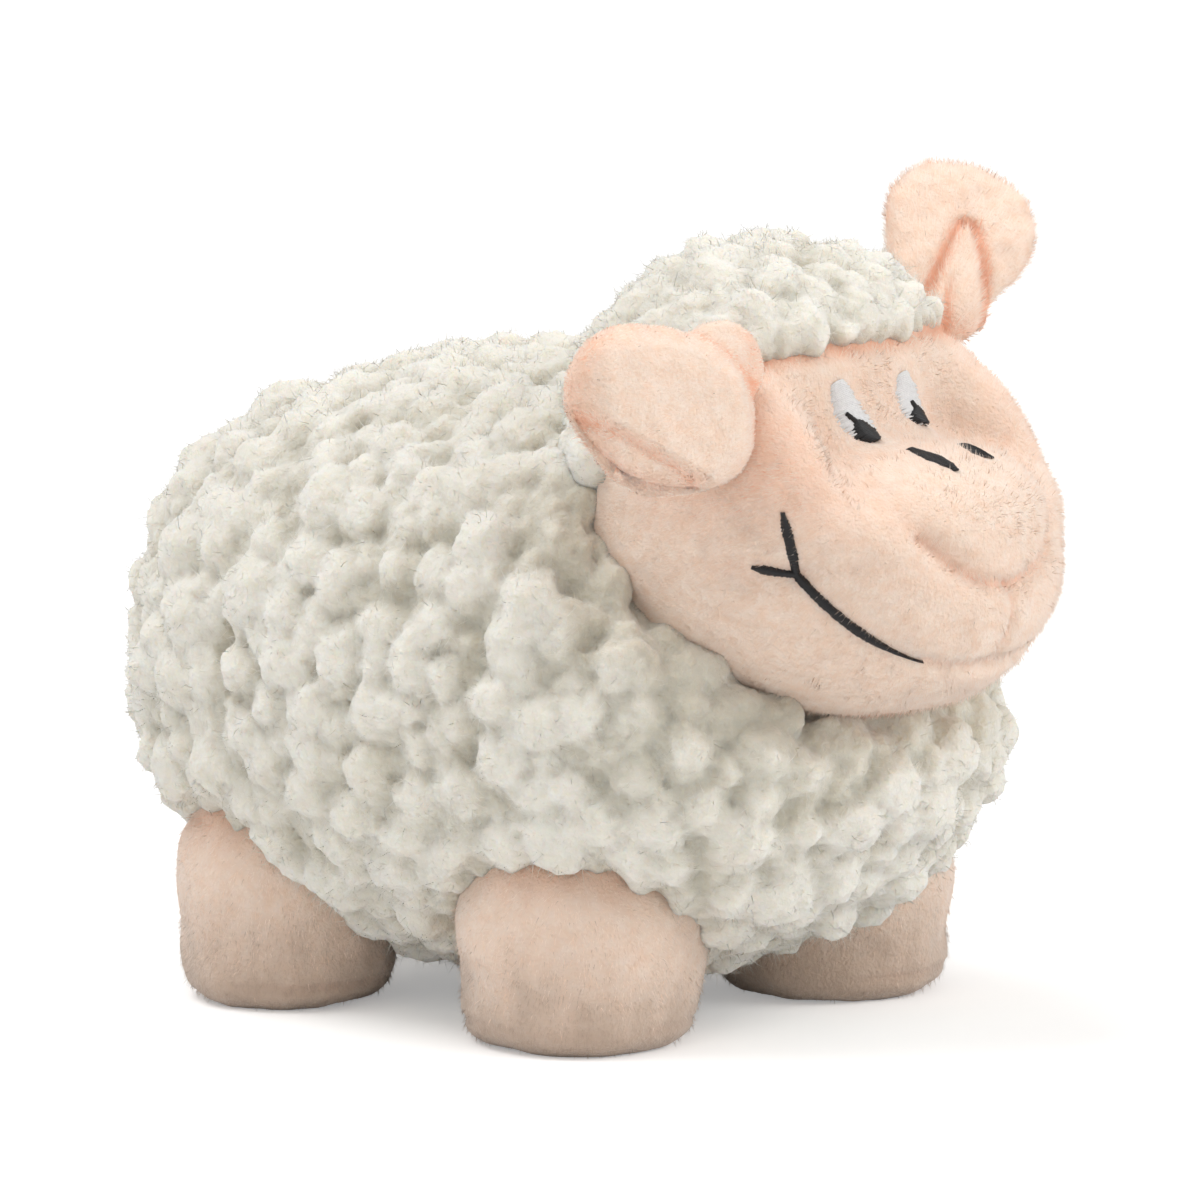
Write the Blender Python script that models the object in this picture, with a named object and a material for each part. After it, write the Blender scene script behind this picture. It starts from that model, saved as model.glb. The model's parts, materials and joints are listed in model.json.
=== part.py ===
"""A small plush sheep: curly fleece body and cap, short plush face, ears and legs.

Metres, +Z up. The sheep faces -Y and stands on the floor at Z = 0, with its left side at +X.
The origin is on the floor, under the middle of the toy. Every fabric panel is its own shell
round a separate lump of stuffing, and each moving piece hangs from an empty on its joint.
"""

import math

import bmesh
import bpy
import numpy as np
from mathutils import Matrix, Vector

MM = 0.001

# Clearances between pieces that touch
PIECE_GAP = 0.3 * MM
SEAM_GAP = 0.3 * MM
CUT_OVERRUN = 20 * MM

# Body: a plump pillow with a flat back and full chest
BODY_LENGTH = 110 * MM
BODY_WIDTH = 82 * MM
BODY_HEIGHT = 71 * MM
BELLY_CLEARANCE = 5.5 * MM
BODY_SQUARENESS = 2.4
BODY_FLEECE = 5 * MM
CLUMP_HEIGHT = 2.4 * MM
CLUMPS_AROUND = 14
CLUMPS_ALONG = 10
CLUMP_WANDER = 0.8
LINING = 2 * MM
GUSSET_LENGTH_SHARE = 0.94

# Legs: four stubs, each a ball in a hollow of the body and a flat sole below it
FRONT_LEG_RADIUS = 15 * MM
HIND_LEG_RADIUS = 13.6 * MM
LEG_HEIGHT = 28 * MM
LEG_SPACING_ACROSS = 47 * MM
LEG_SPACING_ALONG = 46 * MM
LEG_SETBACK = 1.6 * MM
LEG_PILE = 2 * MM
SOLE_INSET = 5.2 * MM
SOLE_SEAM_HEIGHT = 3.4 * MM
SOLE_SEAM_INSET = 1.4 * MM
LEG_SWING = math.radians(12)

# Head: skull, muzzle, bridge of the nose and two full cheeks run into each other
HEAD_FORWARD = 30 * MM
HEAD_AXIS_HEIGHT = 62 * MM
HEAD_BLEND = 9
SKULL_SIZE = (46.6 * MM, 32.2 * MM, 40.6 * MM)
SKULL_FORWARD = 1 * MM
SKULL_RISE = 8.8 * MM
SKULL_SQUARENESS = 2.5
MUZZLE_SIZE = (44.2 * MM, 48.4 * MM, 31.6 * MM)
MUZZLE_FORWARD = 13 * MM
MUZZLE_DROP = 6 * MM
BRIDGE_SIZE = (38.4 * MM, 25.4 * MM, 12.2 * MM)
BRIDGE_FORWARD = 21.8 * MM
BRIDGE_RISE = 1.2 * MM
CHEEK_SIZE = (13 * MM, 33.8 * MM, 28.4 * MM)
CHEEK_ACROSS = 18.6 * MM
CHEEK_FORWARD = 7.6 * MM
CHEEK_RISE = 2.8 * MM
FACE_PILE = 2.2 * MM
HEAD_FLEECE = 3 * MM
FACE_SEAM_RADIUS = 23 * MM
FACE_SEAM_FORWARD = 20 * MM
FACE_SEAM_SINK = 0.5 * MM
NOSE_PANEL_RADIUS = 15 * MM
NOSE_PANEL_RISE = 10 * MM
HEAD_TURN = math.radians(12)

# Mouth, stitched in satin thread on the muzzle
MOUTH_DROP = 15.6 * MM
MOUTH_CORNER_DROP = 3 * MM
MOUTH_TOP_RISE = 4.7 * MM
MOUTH_CORNER_TURN = math.radians(43.5)
MOUTH_START_TURN = math.radians(17)
MOUTH_TOP_TURN = math.radians(46.5)
MOUTH_CURL = 2.4
CREASE_END_TURN = math.radians(53)
CREASE_END_DROP = 2.2 * MM
MOUTH_WIDTH = 1.7 * MM
MOUTH_BLUNTNESS = 0.5
CREASE_WIDTH_SHARES = (0.8, 0.48)
THREAD_HEIGHT = 0.5 * MM
THREAD_LIFT = 0.8 * MM

# Eyes and nostrils, as stitched patches
PATCH_RING_SHARES = (0, 0.6, 1)
EYE_LENGTH = 9.2 * MM
EYE_WIDTH = 4 * MM
EYE_ACROSS = 11.6 * MM
EYE_RISE = 14.4 * MM
EYE_LEAN = math.radians(14)
EYE_TAPER_SHARE = 0.35
PUPIL_LENGTH = 3.8 * MM
PUPIL_WIDTH = 2.7 * MM
PUPIL_DROP_SHARE = 0.25
NOSTRIL_LENGTH = 6 * MM
NOSTRIL_WIDTH = 1.1 * MM
NOSTRIL_ACROSS = 9.4 * MM
NOSTRIL_RISE = 8.8 * MM
NOSTRIL_LEAN = math.radians(20)

# Ears: two round plush layers on a narrow root
EAR_LENGTH = 25 * MM
EAR_LOBE_RADIUS = 9.7 * MM
EAR_ROOT_RADIUS = 4.8 * MM
EAR_LAYER = 3 * MM
EAR_CUP = 2 * MM
EAR_BLEND = 3
EAR_RING_SHARES = (0.45, 0.84)
EAR_EDGE_SHARE = 0.82
EAR_RIGHT_SWEEP = math.radians(16)
EAR_RIGHT_LIFT = math.radians(0)
EAR_RIGHT_ROLL = math.radians(8)
EAR_LEFT_SWEEP = math.radians(30)
EAR_LEFT_LIFT = math.radians(50)
EAR_LEFT_ROLL = math.radians(66)
EAR_RIGHT_ROOT_SHARES = (0.66, -0.48, 0.55)
EAR_LEFT_ROOT_SHARES = (0.78, -0.2, 0.55)
EAR_SWING = math.radians(12)

# Facets
BODY_SEGMENTS = 2 * CLUMPS_AROUND
BODY_RINGS = 2 * CLUMPS_ALONG
HEAD_SEGMENTS = 24
HEAD_RINGS = 16
SADDLE_SEGMENTS = 18
SADDLE_RINGS = 12
STUFFING_SEGMENTS = 14
STUFFING_RINGS = 8
LEG_SEGMENTS = 12
LEG_RINGS = 6
PATCH_SEGMENTS = 12
EAR_SEGMENTS = 14
MOUTH_STEPS = 8
TURN_STEPS = 9
SEARCH_STEPS = 36

FLEECE_COLOUR = (0.75, 0.73, 0.66)
PLUSH_COLOUR = (0.87, 0.56, 0.40)
SOLE_COLOUR = (0.82, 0.53, 0.38)
STUFFING_COLOUR = (0.86, 0.86, 0.84)
WHITE_THREAD_COLOUR = (0.84, 0.84, 0.83)
BLACK_THREAD_COLOUR = (0.012, 0.011, 0.012)


def clear_scene():
    for obj in list(bpy.data.objects):
        bpy.data.objects.remove(obj, do_unlink=True)


def make_material(name, colour, roughness):
    material = bpy.data.materials.new(name)
    material.use_nodes = True
    shader = material.node_tree.nodes["Principled BSDF"]
    shader.inputs["Base Color"].default_value = (*colour, 1)
    shader.inputs["Roughness"].default_value = roughness
    shader.inputs["Metallic"].default_value = 0
    return material


def half(size):
    return np.array(size) / 2


def superellipsoid(radii, power):
    """Reach of a rounded box about its own middle, along each unit direction."""

    def reach(directions):
        shares = np.abs(directions) / radii
        return (shares**power).sum(axis=1) ** (-1 / power)

    return reach


def fleece_reach(radii, power):
    """Reach of a rounded box whose fleece stands up in clumps, each two facets apart."""
    flat = superellipsoid(radii, power)

    def reach(directions):
        x, y, z = directions.T
        slope = np.arccos(np.clip(y, -1, 1))
        turn = np.arctan2(z, x)
        around = np.cos(CLUMPS_AROUND * turn + CLUMP_WANDER * np.sin(2 * slope))
        along = np.cos(2 * CLUMPS_ALONG * slope + CLUMP_WANDER * np.sin(2 * turn))
        fade = np.sin(slope)
        return flat(directions) + CLUMP_HEIGHT / 2 * fade * (around + along) / 2

    return reach


def head_reach(swell):
    """Reach of the head's surface about its turning axis, with every radius grown by swell."""
    parts = (
        (half(SKULL_SIZE) + swell, (0, -SKULL_FORWARD, SKULL_RISE), SKULL_SQUARENESS),
        (half(MUZZLE_SIZE) + swell, (0, -MUZZLE_FORWARD, -MUZZLE_DROP), 2),
        (half(BRIDGE_SIZE) + swell, (0, -BRIDGE_FORWARD, BRIDGE_RISE), 2),
        (half(CHEEK_SIZE) + swell, (-CHEEK_ACROSS, -CHEEK_FORWARD, CHEEK_RISE), 2),
        (half(CHEEK_SIZE) + swell, (CHEEK_ACROSS, -CHEEK_FORWARD, CHEEK_RISE), 2),
    )

    def is_inside(points):
        total = np.zeros(len(points))
        for radii, middle, power in parts:
            shares = np.abs(points - np.array(middle)) / radii
            total += (shares**power).sum(axis=1) ** (-HEAD_BLEND / power)
        return total > 1

    def reach(directions):
        near = np.zeros(len(directions))
        far = np.full(len(directions), 2 * MUZZLE_SIZE[1])
        for _ in range(SEARCH_STEPS):
            middle = (near + far) / 2
            inside = is_inside(directions * middle[:, None])
            near = np.where(inside, middle, near)
            far = np.where(inside, far, middle)
        return near

    return reach


def dressed_head_reach():
    """Reach of the head as it is dressed: short pile on the face, and fleece from its edge on."""
    face = head_reach(FACE_PILE)
    cap = head_reach(HEAD_FLEECE)

    def reach(directions):
        near, far = face(directions), cap(directions)
        _, y, z = (directions * near[:, None]).T
        back = np.maximum(y + FACE_SEAM_FORWARD, 0)
        in_face = np.hypot(back, z + FACE_SEAM_SINK) < FACE_SEAM_RADIUS - FACE_PILE / 2
        return np.where(in_face, near, far)

    return reach


def turned(directions, angle):
    cosine, sine = math.cos(angle), math.sin(angle)
    x, y, z = directions.T
    return np.stack([cosine * x - sine * y, sine * x + cosine * y, z], axis=1)


def saddle_reach(swell):
    """Reach of all that the head sweeps as it turns."""
    reach = head_reach(swell)

    def swept(directions):
        angles = np.linspace(-HEAD_TURN, HEAD_TURN, TURN_STEPS)
        return np.max([reach(turned(directions, angle)) for angle in angles], axis=0)

    return swept


def add_object(name, bm, material=None, pivot=None):
    """A mesh object from bm, whose points are in the world. Its origin goes to its pivot."""
    bmesh.ops.triangulate(bm, faces=bm.faces)
    bmesh.ops.recalc_face_normals(bm, faces=bm.faces)
    mesh = bpy.data.meshes.new(name)
    if pivot:
        bmesh.ops.translate(bm, verts=bm.verts, vec=-pivot.location)
    bm.to_mesh(mesh)
    bm.free()
    mesh.shade_smooth()
    obj = bpy.data.objects.new(name, mesh)
    bpy.context.scene.collection.objects.link(obj)
    if material:
        mesh.materials.append(material)
    if pivot:
        obj.parent = pivot
    return obj


def add_pivot(name, place):
    empty = bpy.data.objects.new(name, None)
    empty.location = place
    empty.empty_display_size = FRONT_LEG_RADIUS
    bpy.context.scene.collection.objects.link(empty)
    return empty


def star_mesh(centre, reach, segments, rings):
    """A closed form round centre, with its poles fore and aft."""
    bm = bmesh.new()
    bmesh.ops.create_uvsphere(bm, u_segments=segments, v_segments=rings, radius=1)
    tip = Matrix.Rotation(math.radians(90), 3, "X")
    bmesh.ops.rotate(bm, verts=bm.verts, cent=(0, 0, 0), matrix=tip)
    directions = np.array([vert.co.normalized() for vert in bm.verts])
    points = np.array(centre) + directions * reach(directions)[:, None]
    for vert, point in zip(bm.verts, points):
        vert.co = point
    return bm


def flat_share(segments, rings):
    """How near to the middle of a faceted ball its flats come, as a share of its radius."""
    return math.cos(math.pi / segments) * math.cos(math.pi / 2 / rings)


def prism(outline, across):
    """A solid between -across and +across on the third axis of outline's points."""
    bm = bmesh.new()
    low, high = (
        [bm.verts.new(Vector(point) + side * across) for point in outline] for side in (-1, 1)
    )
    bm.faces.new(low)
    bm.faces.new(reversed(high))
    count = len(outline)
    for i in range(count):
        j = (i + 1) % count
        bm.faces.new((low[j], low[i], high[i], high[j]))
    return bm


def box(low, high):
    bm = bmesh.new()
    bmesh.ops.create_cube(bm, size=1)
    low, high = Vector(low), Vector(high)
    bmesh.ops.scale(bm, verts=bm.verts, vec=high - low)
    bmesh.ops.translate(bm, verts=bm.verts, vec=(low + high) / 2)
    return bm


def turned_mesh(profile, centre, segments, bm=None):
    """A closed form turned about the upright line through centre, from (radius, height) pairs."""
    if bm is None:
        bm = bmesh.new()
    turns = [2 * math.pi * i / segments for i in range(segments)]
    rings = []
    for radius, height in profile:
        if radius <= 0:
            rings.append([bm.verts.new(centre + Vector((0, 0, height)))])
            continue
        ring = [Vector((radius * math.cos(a), radius * math.sin(a), height)) for a in turns]
        rings.append([bm.verts.new(centre + place) for place in ring])
    closed = len(rings[0]) > 1
    pairs = list(zip(rings, rings[1:] + rings[:1])) if closed else list(zip(rings, rings[1:]))
    for upper, lower in pairs:
        for i in range(segments):
            j = (i + 1) % segments
            corners = [ring[k % len(ring)] for ring, k in ((upper, i), (upper, j), (lower, j), (lower, i))]
            bm.faces.new(list(dict.fromkeys(corners)))
    return bm


def as_cutter(obj):
    obj.hide_render = True
    obj.display_type = "WIRE"
    return obj


def apply_cut(obj, cutter, operation="DIFFERENCE"):
    modifier = obj.modifiers.new(f"{operation.lower()}_{cutter.name}", "BOOLEAN")
    modifier.operation = operation
    modifier.solver = "EXACT"
    modifier.object = cutter


class Layout:
    """Places that several pieces share."""

    def __init__(self):
        slopes = np.linspace(-math.pi / 4, math.pi / 4, SEARCH_STEPS)
        ahead = np.stack([0 * slopes, -np.cos(slopes), np.sin(slopes)], axis=1)
        face_front = float(np.max(head_reach(FACE_PILE)(ahead) * np.cos(slopes)))
        self.body_y = (HEAD_FORWARD + face_front - BODY_LENGTH / 2) / 2
        self.body = Vector((0, self.body_y, BELLY_CLEARANCE + BODY_HEIGHT / 2))
        self.head = Vector((0, self.body_y - HEAD_FORWARD, HEAD_AXIS_HEIGHT))

    def hip(self, side, end):
        along = self.body_y + LEG_SETBACK + end * LEG_SPACING_ALONG / 2
        return Vector((side * LEG_SPACING_ACROSS / 2, along, LEG_HEIGHT - leg_radius(end)))


def leg_radius(end):
    """Radius of a leg at this end of the body: -1 is the front and 1 is the back."""
    return FRONT_LEG_RADIUS if end < 0 else HIND_LEG_RADIUS


def body_form(layout, inset, segments, rings, form=superellipsoid):
    radii = np.array([BODY_WIDTH, BODY_LENGTH, BODY_HEIGHT]) / 2 - inset
    return star_mesh(layout.body, form(radii, BODY_SQUARENESS), segments, rings)


def fleece_form(layout):
    return body_form(layout, 0, BODY_SEGMENTS, BODY_RINGS, fleece_reach)


def hollow_profile(radius, swell):
    """Outline of a leg's hollow about its hip: a ball, then wider to clear the foot as it swings."""
    foot_radius = radius - SOLE_SEAM_INSET
    foot_drop = LEG_HEIGHT - radius - SOLE_SEAM_HEIGHT
    flat = flat_share(LEG_SEGMENTS, LEG_RINGS)
    ball = (radius + swell) / flat
    foot = (math.hypot(foot_radius, foot_drop) + swell) / flat
    ball_end = LEG_SWING - math.acos(foot_radius / radius)
    foot_start = LEG_SWING - math.atan2(foot_drop, foot_radius)
    steps = LEG_RINGS // 2
    upper = [(ball, a) for a in np.linspace(math.pi / 2, ball_end, steps + 2)[1:]]
    lower = [(foot, a) for a in np.linspace(foot_start, -math.pi / 2, steps)[:-1]]
    profile = [(reach * math.cos(a), reach * math.sin(a)) for reach, a in upper + lower]
    return [(0, ball)] + profile + [(0, -foot)]


def hip_hollows(name, layout, swell):
    """The four hollows that the legs' tops turn in, as one cutter."""
    bm = bmesh.new()
    for side in (-1, 1):
        for end in (-1, 1):
            profile = hollow_profile(leg_radius(end), swell)
            turned_mesh(profile, layout.hip(side, end), LEG_SEGMENTS, bm)
    return as_cutter(add_object(name, bm))


def saddle(name, layout, swell):
    reach = saddle_reach(HEAD_FLEECE + swell)
    flat = flat_share(SADDLE_SEGMENTS, SADDLE_RINGS)

    def clear(directions):
        return reach(directions) / flat

    return as_cutter(add_object(name, star_mesh(layout.head, clear, SADDLE_SEGMENTS, SADDLE_RINGS)))


def gusset_zone(name, layout, swell):
    """An upright oval column under the body, whose edge runs over the four hips."""
    length = GUSSET_LENGTH_SHARE * BODY_LENGTH / 2
    end_share = (LEG_SPACING_ALONG / 2 / length) ** 2
    width = LEG_SPACING_ACROSS / 2 / math.sqrt(max(1 - end_share, end_share))
    turns = [2 * math.pi * i / SADDLE_SEGMENTS for i in range(SADDLE_SEGMENTS)]
    outline = [
        (
            (width + swell) * math.cos(a),
            layout.body_y + (length + swell) * math.sin(a),
            layout.body.z / 2 - CUT_OVERRUN / 2 + swell / 2,
        )
        for a in turns
    ]
    bm = prism(outline, Vector((0, 0, (layout.body.z + CUT_OVERRUN + swell) / 2)))
    return as_cutter(add_object(name, bm))


def build_body(layout, materials, pivot):
    fleece = materials["fleece"]
    hollows = hip_hollows("hip_hollows", layout, PIECE_GAP)
    seat = saddle("neck_saddle", layout, PIECE_GAP)
    cavity = as_cutter(
        add_object("body_cavity", body_form(layout, BODY_FLEECE, STUFFING_SEGMENTS, STUFFING_RINGS))
    )
    apply_cut(cavity, hip_hollows("hip_linings", layout, PIECE_GAP + LINING))
    apply_cut(cavity, saddle("neck_lining", layout, PIECE_GAP + LINING))

    gusset_clear = gusset_zone("gusset_clear", layout, SEAM_GAP / 2)
    span = Vector((BODY_WIDTH, BODY_LENGTH, BODY_HEIGHT))
    for side, name in ((-1, "right"), (1, "left")):
        panel = add_object(f"body_fleece_{name}", fleece_form(layout), fleece, pivot)
        near = -side * SEAM_GAP / 2
        far = side * -span.x
        low = (min(-near, far), layout.body_y - span.y, -CUT_OVERRUN)
        high = (max(-near, far), layout.body_y + span.y, layout.body.z + span.z)
        apply_cut(panel, as_cutter(add_object(f"other_side_of_{name}", box(low, high))))
        apply_cut(panel, gusset_clear)
        apply_cut(panel, cavity)
        apply_cut(panel, hollows)
        apply_cut(panel, seat)

    gusset = add_object("belly_gusset", fleece_form(layout), fleece, pivot)
    apply_cut(gusset, cavity)
    apply_cut(gusset, hollows)
    apply_cut(gusset, seat)
    apply_cut(gusset, gusset_zone("gusset_zone", layout, -SEAM_GAP / 2), "INTERSECT")

    stuffing = add_object(
        "body_stuffing",
        body_form(layout, BODY_FLEECE + PIECE_GAP, STUFFING_SEGMENTS, STUFFING_RINGS),
        materials["stuffing"],
        pivot,
    )
    apply_cut(stuffing, hip_hollows("hip_stuffing", layout, 2 * PIECE_GAP + LINING))
    apply_cut(stuffing, saddle("neck_stuffing", layout, 2 * PIECE_GAP + LINING))


def leg_profile(radius, inset, steps):
    """Outline of a leg from its crown down to the sole's seam: a ball that runs into a foot."""
    hip = LEG_HEIGHT - radius
    reach = math.acos((radius - SOLE_SEAM_INSET - inset) / (radius - inset))
    turns = np.linspace(math.pi / 2, -reach, steps + 1)
    inner = radius - inset
    return [(inner * math.cos(a), hip + inner * math.sin(a)) for a in turns[1:]]


def build_leg(name, centre, radius, materials, pivot):
    floor = Vector((centre.x, centre.y, 0))
    seam_radius = radius - SOLE_SEAM_INSET
    sole_radius = radius - SOLE_INSET
    crown = LEG_HEIGHT
    seam = SOLE_SEAM_HEIGHT + SEAM_GAP / 2
    sleeve = [(0, crown)] + leg_profile(radius, 0, LEG_RINGS)
    sleeve += [(seam_radius, seam), (seam_radius - LEG_PILE, seam)]
    sleeve += leg_profile(radius, LEG_PILE, LEG_RINGS // 2)[::-1] + [(0, crown - LEG_PILE)]
    add_object(
        f"{name}_sleeve", turned_mesh(sleeve, floor, LEG_SEGMENTS), materials["plush"], pivot
    )

    top = SOLE_SEAM_HEIGHT - SEAM_GAP / 2
    sole = [
        (0, LEG_PILE),
        (sole_radius - LEG_PILE / 2, LEG_PILE),
        (seam_radius - LEG_PILE, top),
        (seam_radius, top),
        (sole_radius, 0),
        (0, 0),
    ]
    add_object(f"{name}_sole", turned_mesh(sole, floor, LEG_SEGMENTS), materials["sole"], pivot)

    inset = LEG_PILE + PIECE_GAP
    core = [(0, crown - inset)] + leg_profile(radius, inset, LEG_RINGS // 2)
    core += [
        (seam_radius - inset - PIECE_GAP, seam),
        (sole_radius - LEG_PILE / 2 - PIECE_GAP, LEG_PILE + PIECE_GAP),
        (0, LEG_PILE + PIECE_GAP),
    ]
    add_object(
        f"{name}_stuffing", turned_mesh(core, floor, LEG_SEGMENTS), materials["stuffing"], pivot
    )


def build_legs(layout, materials):
    for end, end_name in ((-1, "front"), (1, "hind")):
        for side, side_name in ((-1, "right"), (1, "left")):
            name = f"leg_{end_name}_{side_name}"
            centre = layout.hip(side, end)
            build_leg(name, centre, leg_radius(end), materials, add_pivot(f"{name}_hip", centre))


def head_form(layout, swell, segments, rings):
    return star_mesh(layout.head, head_reach(swell), segments, rings)


def face_zone(name, layout, swell):
    """What lies inside the seam between face and fleece: a D with its round side towards the back."""
    radius = FACE_SEAM_RADIUS + swell
    middle_y = layout.head.y - FACE_SEAM_FORWARD
    middle_z = layout.head.z - FACE_SEAM_SINK
    front = layout.head.y - 2 * SKULL_SIZE[1]
    turns = np.linspace(-math.pi / 2, math.pi / 2, HEAD_SEGMENTS // 2)
    outline = [
        (0, middle_y + radius * math.cos(a), middle_z + radius * math.sin(a)) for a in turns
    ]
    outline += [(0, front, middle_z + radius), (0, front, middle_z - radius)]
    bm = prism(outline, Vector((2 * SKULL_SIZE[0], 0, 0)))
    return as_cutter(add_object(name, bm))


def nose_zone(name, layout, swell):
    radius = NOSE_PANEL_RADIUS + swell
    front = layout.head.y - SKULL_SIZE[1] - CUT_OVERRUN
    middle = layout.head.z + NOSE_PANEL_RISE
    turns = [2 * math.pi * i / HEAD_SEGMENTS for i in range(HEAD_SEGMENTS)]
    outline = [(radius * math.cos(a), front, middle + radius * math.sin(a)) for a in turns]
    bm = prism(outline, Vector((0, SKULL_SIZE[1] + CUT_OVERRUN, 0)))
    return as_cutter(add_object(name, bm))


def mouth_drop(turn):
    """How far below the head's axis the mouth runs, at a turn from straight ahead to its corner."""
    share = min(abs(turn) / MOUTH_CORNER_TURN, 1) ** MOUTH_CURL
    return MOUTH_DROP + (MOUTH_CORNER_DROP - MOUTH_DROP) * share


def chin_zone(name, layout, rise):
    """What lies below the mouth, as a prism fore and aft whose top follows the smile."""
    reach = head_reach(FACE_PILE)
    turns = np.linspace(-MOUTH_CORNER_TURN, MOUTH_CORNER_TURN, 2 * MOUTH_STEPS + 1)
    smile = [surface_point(layout, reach, turn, -mouth_drop(turn)) for turn in turns]
    across = SKULL_SIZE[0]
    level = layout.head.z - MOUTH_CORNER_DROP + rise
    bottom = -CUT_OVERRUN
    outline = [(-across, layout.head.y, level)]
    outline += [(point.x, layout.head.y, point.z + rise) for point in smile]
    outline += [(across, layout.head.y, level), (across, layout.head.y, bottom)]
    outline += [(-across, layout.head.y, bottom)]
    bm = prism(outline, Vector((0, 2 * SKULL_SIZE[1], 0)))
    return as_cutter(add_object(name, bm))


def surface_point(layout, reach, turn, rise, lift=0.0):
    """The point on the head at this turn from straight ahead and this height above its axis."""
    ahead = np.array([math.sin(turn), -math.cos(turn), 0.0])
    level = SKULL_SIZE[1] / 2
    for _ in range(SEARCH_STEPS):
        direction = ahead * level + np.array([0, 0, rise])
        length = np.linalg.norm(direction)
        found = float(reach(direction[None, :] / length)[0])
        level = (level + math.sqrt(max(found**2 - rise**2, 0))) / 2
    point = ahead * level + np.array([0, 0, rise])
    return layout.head + Vector(point * (1 + lift / np.linalg.norm(point)))


def face_point(layout, reach, across, rise):
    """The point on the face this far from the middle plane and this high above the axis."""
    point = surface_point(layout, reach, 0, rise)
    for _ in range(TURN_STEPS):
        level = (point - layout.head).to_2d().length
        point = surface_point(layout, reach, math.asin(across / level), rise)
    return point


def surface_normal(layout, reach, point):
    """Outward direction of the head's surface below point, from its neighbours a little apart."""
    outward = (point - layout.head).normalized()
    side = outward.orthogonal().normalized()
    other = outward.cross(side)
    step = EYE_WIDTH / 4
    corners = []
    for first, second in ((step, 0), (0, step), (-step, 0), (0, -step)):
        near = outward * (point - layout.head).length + side * first + other * second
        direction = np.array(near.normalized())
        corners.append(Vector(direction * float(reach(direction[None, :])[0])))
    normal = (corners[0] - corners[2]).cross(corners[1] - corners[3]).normalized()
    return normal if normal.dot(outward) > 0 else -normal


def on_surface(layout, reach, point):
    direction = np.array((point - layout.head).normalized())
    return layout.head + Vector(direction * float(reach(direction[None, :])[0]))


def thread_line(layout, points, widths):
    """A flat satin-stitch ribbon that lies along points on the face."""
    reach = head_reach(FACE_PILE)
    bm = bmesh.new()
    rows = []
    for i, (point, width) in enumerate(zip(points, widths)):
        normal = surface_normal(layout, reach, point)
        along = (points[min(i + 1, len(points) - 1)] - points[max(i - 1, 0)]).normalized()
        side = along.cross(normal).normalized() * float(width) / 2
        low, high = point + normal * THREAD_LIFT, point + normal * (THREAD_LIFT + THREAD_HEIGHT)
        row = (low - side, low + side, high + side, high - side)
        rows.append([bm.verts.new(corner) for corner in row])
    for low, high in zip(rows, rows[1:]):
        for i in range(4):
            j = (i + 1) % 4
            bm.faces.new((low[i], low[j], high[j], high[i]))
    bm.faces.new(rows[0])
    bm.faces.new(reversed(rows[-1]))
    return bm


def thread_patch(layout, middle, length, width, lean, taper, lift, drop=0.0):
    """A stitched patch on the face, leaning in the face's plane and narrower at its top by taper."""
    reach = head_reach(FACE_PILE)
    normal = surface_normal(layout, reach, middle)
    up = (Vector((0, 0, 1)) - normal * normal.z).normalized()
    side = up.cross(normal)
    long_axis = up * math.cos(lean) + side * math.sin(lean)
    short_axis = long_axis.cross(normal)
    bm = bmesh.new()
    layers = []
    for height in (lift, lift + THREAD_HEIGHT):
        rings = []
        for share in PATCH_RING_SHARES:
            ring = []
            for i in range(PATCH_SEGMENTS if share else 1):
                angle = 2 * math.pi * i / PATCH_SEGMENTS
                along = share * math.cos(angle) * length / 2 - drop
                across = share * math.sin(angle) * width / 2 * (1 - taper * math.cos(angle))
                flat = middle + long_axis * along + short_axis * across
                point = on_surface(layout, reach, flat)
                ring.append(bm.verts.new(point + normal * height))
            rings.append(ring)
        layers.append(rings)
    for rings in layers:
        for i in range(PATCH_SEGMENTS):
            j = (i + 1) % PATCH_SEGMENTS
            bm.faces.new((rings[0][0], rings[1][i], rings[1][j]))
            bm.faces.new((rings[1][i], rings[2][i], rings[2][j], rings[1][j]))
    low, high = layers[0][2], layers[1][2]
    for i in range(PATCH_SEGMENTS):
        j = (i + 1) % PATCH_SEGMENTS
        bm.faces.new((low[i], low[j], high[j], high[i]))
    return bm


def build_mouth(layout, side, name, materials, pivot):
    reach = head_reach(FACE_PILE)
    turns = np.linspace(MOUTH_START_TURN, MOUTH_CORNER_TURN, MOUTH_STEPS)
    places = [(turn, -mouth_drop(turn)) for turn in turns]
    lift_turns = np.linspace(MOUTH_CORNER_TURN, MOUTH_TOP_TURN, MOUTH_STEPS // 2)[1:]
    lift_rises = np.linspace(-MOUTH_CORNER_DROP, MOUTH_TOP_RISE, MOUTH_STEPS // 2)[1:]
    places += list(zip(lift_turns, lift_rises))
    points = [surface_point(layout, reach, side * turn, rise) for turn, rise in places]
    swell = np.sin(math.pi * np.arange(1, len(points) + 1) / (len(points) + 1)) ** MOUTH_BLUNTNESS
    line = thread_line(layout, points, MOUTH_WIDTH * swell)
    mouth = add_object(f"mouth_{name}", line, materials["black"], pivot)

    crease_turns = np.linspace(MOUTH_CORNER_TURN, CREASE_END_TURN, MOUTH_STEPS // 2)
    crease_rises = np.linspace(-MOUTH_CORNER_DROP, -CREASE_END_DROP, MOUTH_STEPS // 2)
    points = [
        surface_point(layout, reach, side * turn, rise)
        for turn, rise in zip(crease_turns, crease_rises)
    ]
    shares = np.linspace(*CREASE_WIDTH_SHARES, len(points))
    crease = thread_line(layout, points, MOUTH_WIDTH * shares)
    apply_cut(mouth, as_cutter(add_object(f"mouth_crease_{name}", crease)), "UNION")


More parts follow.
